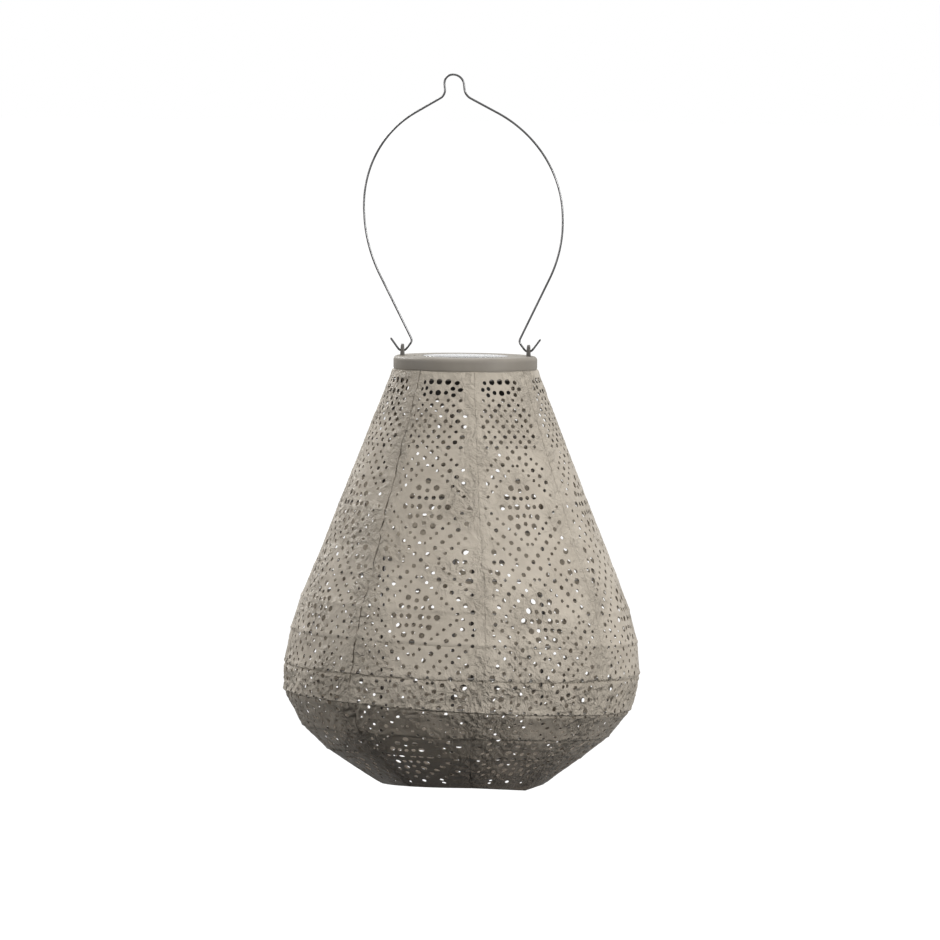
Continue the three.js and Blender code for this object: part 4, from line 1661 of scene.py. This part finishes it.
@dataclass
class Uprights:
    """Four wires that stand on the foot hoop and hold the collar up."""

    form: ShadeForm
    finishes: Finishes
    count: int = 4
    wire: float = 2.0
    bend_height: float = 190.0
    bend_radius: float = 14.0
    straight: float = 12.0
    sides: int = 16
    step: float = 1.5

    def build(self) -> None:
        """Build the four wires."""
        low, high = (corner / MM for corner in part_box("upright_1"))
        foot = self.form.hoops[-1].radius
        radius = self.wire / 2
        corners = frame["nodes"]["upright_1"].data.vertices
        top = min(math.hypot(v.co.x, v.co.y) for v in corners) / MM + radius
        route = rounded_route([
            (foot, low.z + radius, 0.0),
            (foot, self.bend_height, self.bend_radius),
            (top, high.z - self.straight, self.bend_radius),
            (top, high.z - radius, 0.0),
        ], self.step)
        shell = wire(route, radius, self.sides)
        for i in range(self.count):
            placed = shell.moved(Matrix.Rotation(self.form.seam_turn + i * TURN / self.count, 4, "Z"))
            Piece(f"upright_wire_{i + 1}", Body.ROOT, "upright_wire", (f"upright_{i + 1}",)).build(
                placed, self.finishes)
        log.info("uprights: %d", self.count)


@dataclass
class Collar:
    """Painted ring that closes the neck and carries the lugs and the light unit."""

    finishes: Finishes
    corner: float = 2.2
    lip: float = 0.4
    band: float = 7.0
    wall: float = 2.2
    plate: float = 2.0
    hole: float = 29.0
    ledge_width: float = 2.6
    ledge: float = 1.8
    ledge_drop: float = 3.1
    ledge_root: float = 2.0
    edge: float = 0.4
    edge_steps: int = 4
    corner_steps: int = 14
    segments: int = 192

    def profile(self) -> list[tuple[float, float]]:
        """Outline of the ring's section.

        Returns:
            (radius, height) pairs, up its outer side.
        """
        low, high = (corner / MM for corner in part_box("collar"))
        radius, top = high.x, high.z
        base = top - self.band
        inside = radius - self.lip - self.wall
        ledge_top = top - self.ledge_drop
        root = self.hole + self.ledge_root
        return [
            (inside, low.z),
            (radius - self.lip, low.z),
            (radius - self.lip, base),
            *arc((radius - self.edge, base + self.edge), self.edge, -90, 0, self.edge_steps),
            *arc((radius - self.corner, top - self.corner), self.corner, 0, 90, self.corner_steps),
            *arc((self.hole + self.edge, top - self.edge), self.edge, 90, 180, self.edge_steps),
            (self.hole, ledge_top),
            (self.hole - self.ledge_width, ledge_top),
            (self.hole - self.ledge_width, ledge_top - self.ledge),
            (root, ledge_top - self.ledge),
            (root, top - self.plate),
            (inside, top - self.plate),
        ]

    def build(self) -> None:
        """Build the ring."""
        Piece("collar_ring", Body.ROOT, "collar_paint", ("collar",)).build(
            lathe(self.profile(), self.segments), self.finishes)
        log.info("collar")


@dataclass
class Lugs:
    """Two eyes that the handle hooks into."""

    finishes: Finishes
    width: float = 6.0
    height: float = 6.5
    thickness: float = 2.6
    tip: float = 1.9
    eye: float = 1.7
    eye_height: float = 2.1
    bevel: float = 0.45
    spokes: int = 64
    bevel_steps: int = 4

    def _outline(self, inset: float) -> list[tuple[float, float]]:
        """Outer outline of the plate, walked round from the eye's middle: a flat foot and a round top.

        Args:
            inset: How far the outline lies inside the full one.

        Returns:
            (y, z) pairs from the plate's foot.
        """
        half = self.width / 2 - inset
        over = self.eye_height - (self.height - self.width / 2)
        points = []
        for i in range(self.spokes):
            turn = TURN * i / self.spokes
            dy, dz = math.cos(turn), math.sin(turn)
            aside = half / abs(dy) if dy else math.inf
            down = self.eye_height / -dz if dz < 0 else math.inf
            reach = min(aside, down)
            if over + dz * reach > 0:
                along = dz * over
                reach = math.sqrt(along * along - over * over + half * half) - along
            points.append((dy * reach, self.eye_height + dz * reach))
        return points

    def _layers(self) -> list[tuple[float, float]]:
        """Levels through the plate's thickness.

        Returns:
            (x, inset) pairs, from one face to the other.
        """
        layers = []
        for side in (-1, 1):
            for i in range(self.bevel_steps + 1):
                bend = math.pi / 2 * i / self.bevel_steps
                rise = self.thickness / 2 - self.bevel * (1 - math.cos(bend))
                layers.append((side * rise, self.bevel * (1 - math.sin(bend))))
        return sorted(layers, key=lambda layer: layer[0])

    def shell(self) -> Shell:
        """Plate with a rounded rim and a rounded eye, thinner towards its top.

        Returns:
            The closed shell, standing on z = 0 with the eye along X.
        """
        layers, shell = self._layers(), Shell()
        taper = (self.thickness - self.tip) / self.thickness
        turns = [TURN * i / self.spokes for i in range(self.spokes)]
        for x, inset in layers:
            eye = self.eye + inset
            inner = [(eye * math.cos(t), self.eye_height + eye * math.sin(t)) for t in turns]
            for y, z in (*self._outline(inset), *inner):
                shell.points.append((x * (1 - taper * z / self.height), y, z))
        ring = 2 * self.spokes
        last = (len(layers) - 1) * ring
        for i in range(self.spokes):
            j = (i + 1) % self.spokes
            for level in range(0, last, ring):
                a, b = level + i, level + j
                shell.faces.append((a, b, b + ring, a + ring))
                a, b = a + self.spokes, b + self.spokes
                shell.faces.append((b, a, a + ring, b + ring))
            shell.faces.append((i, i + self.spokes, j + self.spokes, j))
            shell.faces.append((last + j, last + j + self.spokes, last + i + self.spokes, last + i))
        return shell

    def build(self) -> None:
        """Build both lugs on the collar."""
        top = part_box("collar")[1].z / MM
        for name in ("lug_left", "lug_right"):
            low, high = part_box(name)
            place = Matrix.Translation(((low.x + high.x) / 2 / MM, 0, top))
            Piece(f"{name}_eye", Body.ROOT, "lug_steel", (name,)).build(
                self.shell().moved(place), self.finishes)
        log.info("lugs: 2")


@dataclass
class Handle:
    """Steel wire, hooked into both lugs and drawn up to a narrow crown that leans a little aside."""

    finishes: Finishes
    wire: float = 1.2
    spacing: float = 35.6
    hook_radius: float = 3.0
    hook_spread: float = math.radians(36)
    hook_inner: float = 5.6
    hook_outer: float = 6.4
    hook_bend: float = 3.0
    half_width: float = 56.0
    lower_corner: float = 58.5
    lower_radius: float = 80.0
    upper_corner: float = 116.3
    upper_radius: float = 64.0
    roof: float = math.radians(29)
    crown: float = 5.5
    crown_foot: float = 6.0
    crown_top: float = 156.0
    lean: float = 9.0
    sides: int = 20
    step: float = 0.8
    least_chord: float = 0.05

    def route(self) -> np.ndarray:
        """Middle line of the wire, from the hinge's height.

        Returns:
            (x, z) rows.
        """
        dip = self.hook_radius * (1 / math.sin(self.hook_spread) - 1)
        roof_top = self.upper_corner + (self.half_width - self.crown) * math.tan(self.roof)
        inner = self.hook_inner / math.tan(self.hook_spread) - dip
        half = [
            (self.spacing + self.hook_outer, self.hook_outer / math.tan(self.hook_spread) - dip, 0.0),
            (self.spacing, -dip, self.hook_radius),
            (self.spacing - self.hook_inner, inner, self.hook_bend),
            (self.half_width, self.lower_corner, self.lower_radius),
            (self.half_width, self.upper_corner, self.upper_radius),
            (self.crown, roof_top, self.crown_foot),
            (self.crown, self.crown_top, self.crown),
        ]
        mirrored = [(-x, y, radius) for x, y, radius in reversed(half)]
        route = rounded_route(half + mirrored, self.step)
        route[:, 0] -= self.lean * (np.clip(route[:, 1] - inner, 0, None) / self.crown_top) ** 2
        gaps = np.linalg.norm(np.diff(route, axis=0), axis=1)
        return route[np.concatenate([[True], gaps > self.least_chord])]

    def build(self) -> None:
        """Build the handle on its hinge."""
        hinge = next(j for j in frame["joints"] if j["name"] == "handle_swing")["pos_m"][2] / MM
        shell = wire(self.route(), self.wire / 2, self.sides)
        Piece("handle_wire", Body.HANDLE, "handle_steel", ("handle",)).build(
            shell.moved(Matrix.Translation((0, 0, hinge))), self.finishes)
        log.info("handle")


@dataclass
class LightUnit:
    """Lid with the solar cell under its window, and the round skin of the housing below."""

    finishes: Finishes
    edge: float = 0.35
    pocket: float = 24.3
    floor: float = 1.0
    thickness: float = 2.8
    window_edge: float = 0.2
    edge_steps: int = 4
    window_steps: int = 3
    segments: int = 160
    peg_segments: int = 32
    peg: float = 2.4
    pilot: float = 1.3
    skin: float = 0.04
    skin_depth: float = 0.5
    skin_edge: float = 0.25

    def _lid(self) -> Shell:
        """Round lid with a shallow pocket and three pegs for its screws.

        Returns:
            The shell.
        """
        low, high = (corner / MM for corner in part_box("solar_lid"))
        radius, top = high.x, high.z
        base = top - self.thickness
        shell = lathe([
            (0, base),
            *arc((radius - self.edge, base + self.edge), self.edge, -90, 0, self.edge_steps),
            *arc((radius - self.edge, top - self.edge), self.edge, 0, 90, self.edge_steps),
            *arc((self.pocket + self.edge, top - self.edge), self.edge, 90, 180, self.edge_steps),
            (self.pocket, base + self.floor),
            (0, base + self.floor),
        ], self.segments)
        peg = lathe([
            (self.pilot, low.z), (self.peg, low.z), (self.peg, base), (self.pilot, base),
        ], self.peg_segments)
        for name in ("lid_screw_1", "lid_screw_2", "lid_screw_3"):
            middle = sum(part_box(name), Vector()) / 2 / MM
            shell.join(peg.moved(Matrix.Translation((middle.x, middle.y, 0))))
        return shell

    def _window(self) -> Shell:
        """Disc of clear resin with softened edges.

        Returns:
            The shell.
        """
        low, high = (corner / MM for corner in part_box("solar_window"))
        radius, edge = high.x, self.window_edge
        return lathe([
            (0, low.z),
            *arc((radius - edge, low.z + edge), edge, -90, 0, self.window_steps),
            *arc((radius - edge, high.z - edge), edge, 0, 90, self.window_steps),
            (0, high.z),
        ], self.segments)

    def _skin(self) -> Shell:
        """Thin round band that makes the housing's outer wall smooth.

        Returns:
            The shell.
        """
        low, high = (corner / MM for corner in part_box("light_housing"))
        radius, edge = high.x + self.skin, self.skin_edge
        base = low.z - self.skin
        inner = radius - self.skin_depth
        return lathe([
            (inner, base),
            *arc((radius - edge, base + edge), edge, -90, 0, self.edge_steps),
            (radius, high.z - self.skin),
            (inner, high.z - self.skin),
        ], self.segments)

    def build(self) -> None:
        """Build the housing's skin, the lid and the window."""
        Piece("housing_skin", Body.LIGHT_UNIT, "housing_plastic").build(self._skin(), self.finishes)
        Piece("lid_disc", Body.LIGHT_UNIT, "collar_paint", ("solar_lid",)).build(self._lid(), self.finishes)
        Piece("window_disc", Body.LIGHT_UNIT, "window_clear", ("solar_window",)).build(
            self._window(), self.finishes)
        log.info("light unit")


def hang(name: str, lamp: bpy.types.Light, place: Place) -> bpy.types.Object:
    """Put a lamp into the scene.

    Args:
        name: Name of its object.
        lamp: The lamp.
        place: Where it goes, in metres.

    Returns:
        The lamp's object.
    """
    lamp_object = bpy.data.objects.new(name, lamp)
    lamp_object.location = place
    bpy.context.scene.collection.objects.link(lamp_object)
    return lamp_object


@dataclass
class Softbox:
    """One round soft lamp of the studio."""

    name: str
    place: Place
    size: float
    power: float
    target: Place = (0.0, 0.0, 0.12)

    def build(self) -> None:
        """Build the lamp, turned to its target."""
        lamp = bpy.data.lights.new(self.name, "AREA")
        lamp.shape = "DISK"
        lamp.size = self.size
        lamp.energy = self.power
        aim = Vector(self.target) - Vector(self.place)
        hang(self.name, lamp, self.place).rotation_euler = aim.to_track_quat("-Z", "Y").to_euler()


@dataclass
class InnerLamp:
    """Weak lamp inside the shade, for the daylight that the cloth lets in; a cone if it has a spread."""

    name: str
    height: float
    power: float
    spread: float = 0.0
    softness: float = 0.02
    blend: float = 0.7

    def build(self) -> None:
        """Build the lamp, facing down, hidden from the camera."""
        lamp = bpy.data.lights.new(self.name, "SPOT" if self.spread else "POINT")
        lamp.energy = self.power
        lamp.shadow_soft_size = self.softness
        if self.spread:
            lamp.spot_size = self.spread
            lamp.spot_blend = self.blend
        hang(self.name, lamp, (0.0, 0.0, self.height)).visible_camera = False


@dataclass
class Studio:
    """Camera, white surroundings, floor and lamps.

    Levels named floor and glow are greys and brightnesses: the floor's pale grey and glow are what
    the camera and mirroring surfaces see, and its dark grey is what lights the lantern from below.
    The glow that mirroring surfaces see holds a painted shadow: it is dimmest near the lantern and
    brightens between the near and far distances.
    """

    distance: float = 6.0
    elevation: float = math.radians(3.2)
    roll: float = math.radians(0.55)
    view_width: float = 0.531
    sensor: float = 36.0
    far_clip: float = 100.0
    target: Place = (0.0032, 0.0, 0.1774)
    sky: float = 0.76
    sky_height: float = 0.75
    ground: float = 0.02
    ground_height: float = -0.05
    floor_height: float = -0.32
    floor_radius: float = 30.0
    floor_segments: int = 64
    floor_pale: float = 0.3
    floor_dark: float = 0.03
    # Painted shadow in the floor's mirrored glow: dim near the lantern, brighter from near to far
    painted_shadow_glow_near: float = 0.03
    painted_shadow_glow_far: float = 0.3
    near: float = 0.6
    far: float = 4.0
    glow_mirrored: float = 0.86

    LAMPS = (
        Softbox("key", (1.78, -1.68, 0.7), size=1.0, power=51.0),
        Softbox("fill", (-2.1, -0.5, 0.5), size=1.0, power=17.0),
        Softbox("rim", (-1.2, 1.6, 1.5), size=0.9, power=30.0),
        Softbox("top", (0.3, 0.5, 2.2), size=1.0, power=13.0),
        InnerLamp("middle", height=0.11, power=0.09),
        InnerLamp("bottom", height=0.2, power=1.1, spread=math.radians(62)),
    )

    def camera(self) -> None:
        """Place the camera with its long lens."""
        data = bpy.data.cameras.new("camera")
        data.sensor_width = self.sensor
        data.lens = self.sensor * self.distance / self.view_width
        data.clip_end = self.far_clip
        camera = bpy.data.objects.new("camera", data)
        back = Vector((0, -math.cos(self.elevation), math.sin(self.elevation)))
        camera.location = Vector(self.target) + back * self.distance
        look = (-back).to_track_quat("-Z", "Y").to_matrix().to_4x4()
        camera.rotation_euler = (look @ Matrix.Rotation(self.roll, 4, "Z")).to_euler()
        bpy.context.scene.collection.objects.link(camera)
        bpy.context.scene.camera = camera

    def world(self) -> None:
        """White for what looks at it; a soft sky over a dark ground for what it lights."""
        world = bpy.data.worlds.new("studio")
        world.use_nodes = True
        bpy.context.scene.world = world
        graph = Graph(world.node_tree)
        direction = graph.add("ShaderNodeTexCoord").outputs["Generated"]
        axes = graph.add("ShaderNodeSeparateXYZ", {0: direction})
        lit = graph.ramp(axes.outputs["Z"], self.ground_height, self.sky_height, self.ground, self.sky)
        strength = graph.add("ShaderNodeMix", {0: self._seen(graph), 2: lit, 3: 1.0}, data_type="FLOAT")
        background = graph.add("ShaderNodeBackground", {
            "Color": grey(1.0), "Strength": strength.outputs[0]})
        output = graph.add("ShaderNodeOutputWorld")
        graph.link(background.outputs[0], output.inputs["Surface"])

    @staticmethod
    def _seen(graph: Graph) -> bpy.types.NodeSocket:
        """1 for camera, glossy and transmission rays, else 0.

        Args:
            graph: The graph to add to.

        Returns:
            The output socket.
        """
        path = graph.add("ShaderNodeLightPath")
        both = graph.maths("MAXIMUM", path.outputs["Is Camera Ray"], path.outputs["Is Glossy Ray"])
        return graph.maths("MAXIMUM", both, path.outputs["Is Transmission Ray"])

    def floor_finish(self) -> bpy.types.Material:
        """White floor that keeps the shadow, sends little light back up and is clear from below; what
        mirroring surfaces see in it is a painted shadow, darkest near the lantern.

        Returns:
            The material.
        """
        material = bpy.data.materials.new("floor")
        material.use_nodes = True
        graph = Graph(material.node_tree)
        pale = graph.add("ShaderNodeBsdfDiffuse", {"Color": grey(self.floor_pale)})
        place = graph.add("ShaderNodeTexCoord").outputs["Object"]
        away = graph.add("ShaderNodeVectorMath", {0: place}, operation="LENGTH").outputs["Value"]
        # Painted shadow: glossy rays see a glow that is darkest under the lantern and rises with distance; other
        # seen rays get the even glow
        mirrored_painted_shadow_glow = graph.ramp(away, self.near, self.far, self.painted_shadow_glow_near, self.painted_shadow_glow_far)
        path = graph.add("ShaderNodeLightPath")
        strength = graph.add("ShaderNodeMix", {
            0: path.outputs["Is Glossy Ray"], 2: self.glow_mirrored, 3: mirrored_painted_shadow_glow}, data_type="FLOAT")
        glow = graph.add("ShaderNodeEmission", {"Color": grey(1.0), "Strength": strength.outputs[0]})
        shown = graph.add("ShaderNodeAddShader", {0: pale.outputs[0], 1: glow.outputs[0]})
        dark = graph.add("ShaderNodeBsdfDiffuse", {"Color": grey(self.floor_dark)})
        upper = graph.add("ShaderNodeMixShader", {
            0: self._seen(graph), 1: dark.outputs[0], 2: shown.outputs[0]})
        below = graph.add("ShaderNodeNewGeometry").outputs["Backfacing"]
        clear = graph.add("ShaderNodeBsdfTransparent")
        sided = graph.add("ShaderNodeMixShader", {0: below, 1: upper.outputs[0], 2: clear.outputs[0]})
        output = graph.add("ShaderNodeOutputMaterial")
        graph.link(sided.outputs[0], output.inputs["Surface"])
        return material

    def floor(self) -> None:
        """Build the round floor, facing up."""
        count, radius, height = self.floor_segments, self.floor_radius, self.floor_height
        turns = [TURN * i / count for i in range(count)]
        rim = [(radius * math.cos(t), radius * math.sin(t), height) for t in turns]
        faces = [(i + 1, (i + 1) % count + 1, 0) for i in range(count)]
        mesh = bpy.data.meshes.new("floor")
        mesh.from_pydata([(0.0, 0.0, height), *rim], [], faces)
        floor = bpy.data.objects.new("floor", mesh)
        bpy.context.scene.collection.objects.link(floor)
        mesh.materials.append(self.floor_finish())

    def build(self) -> None:
        """Build the camera, surroundings, floor and lamps."""
        self.camera()
        self.world()
        self.floor()
        for lamp in self.LAMPS:
            lamp.build()
        bpy.context.scene.view_settings.view_transform = "Standard"
        log.info("studio")


def write_size() -> None:
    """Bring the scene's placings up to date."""
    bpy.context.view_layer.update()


def main() -> None:
    """Build the studio and every part of the lantern, in order."""
    logging.basicConfig(level=logging.INFO, format="%(message)s")
    Studio().build()
    finishes = Finishes()
    finishes.dress_nodes()
    form = ShadeForm(read_hoops())
    Hoops(form, finishes).build()
    Shade(form, finishes).build()
    Uprights(form, finishes).build()
    Collar(finishes).build()
    Lugs(finishes).build()
    Handle(finishes).build()
    LightUnit(finishes).build()
    write_size()


if __name__ == "__main__":
    main()
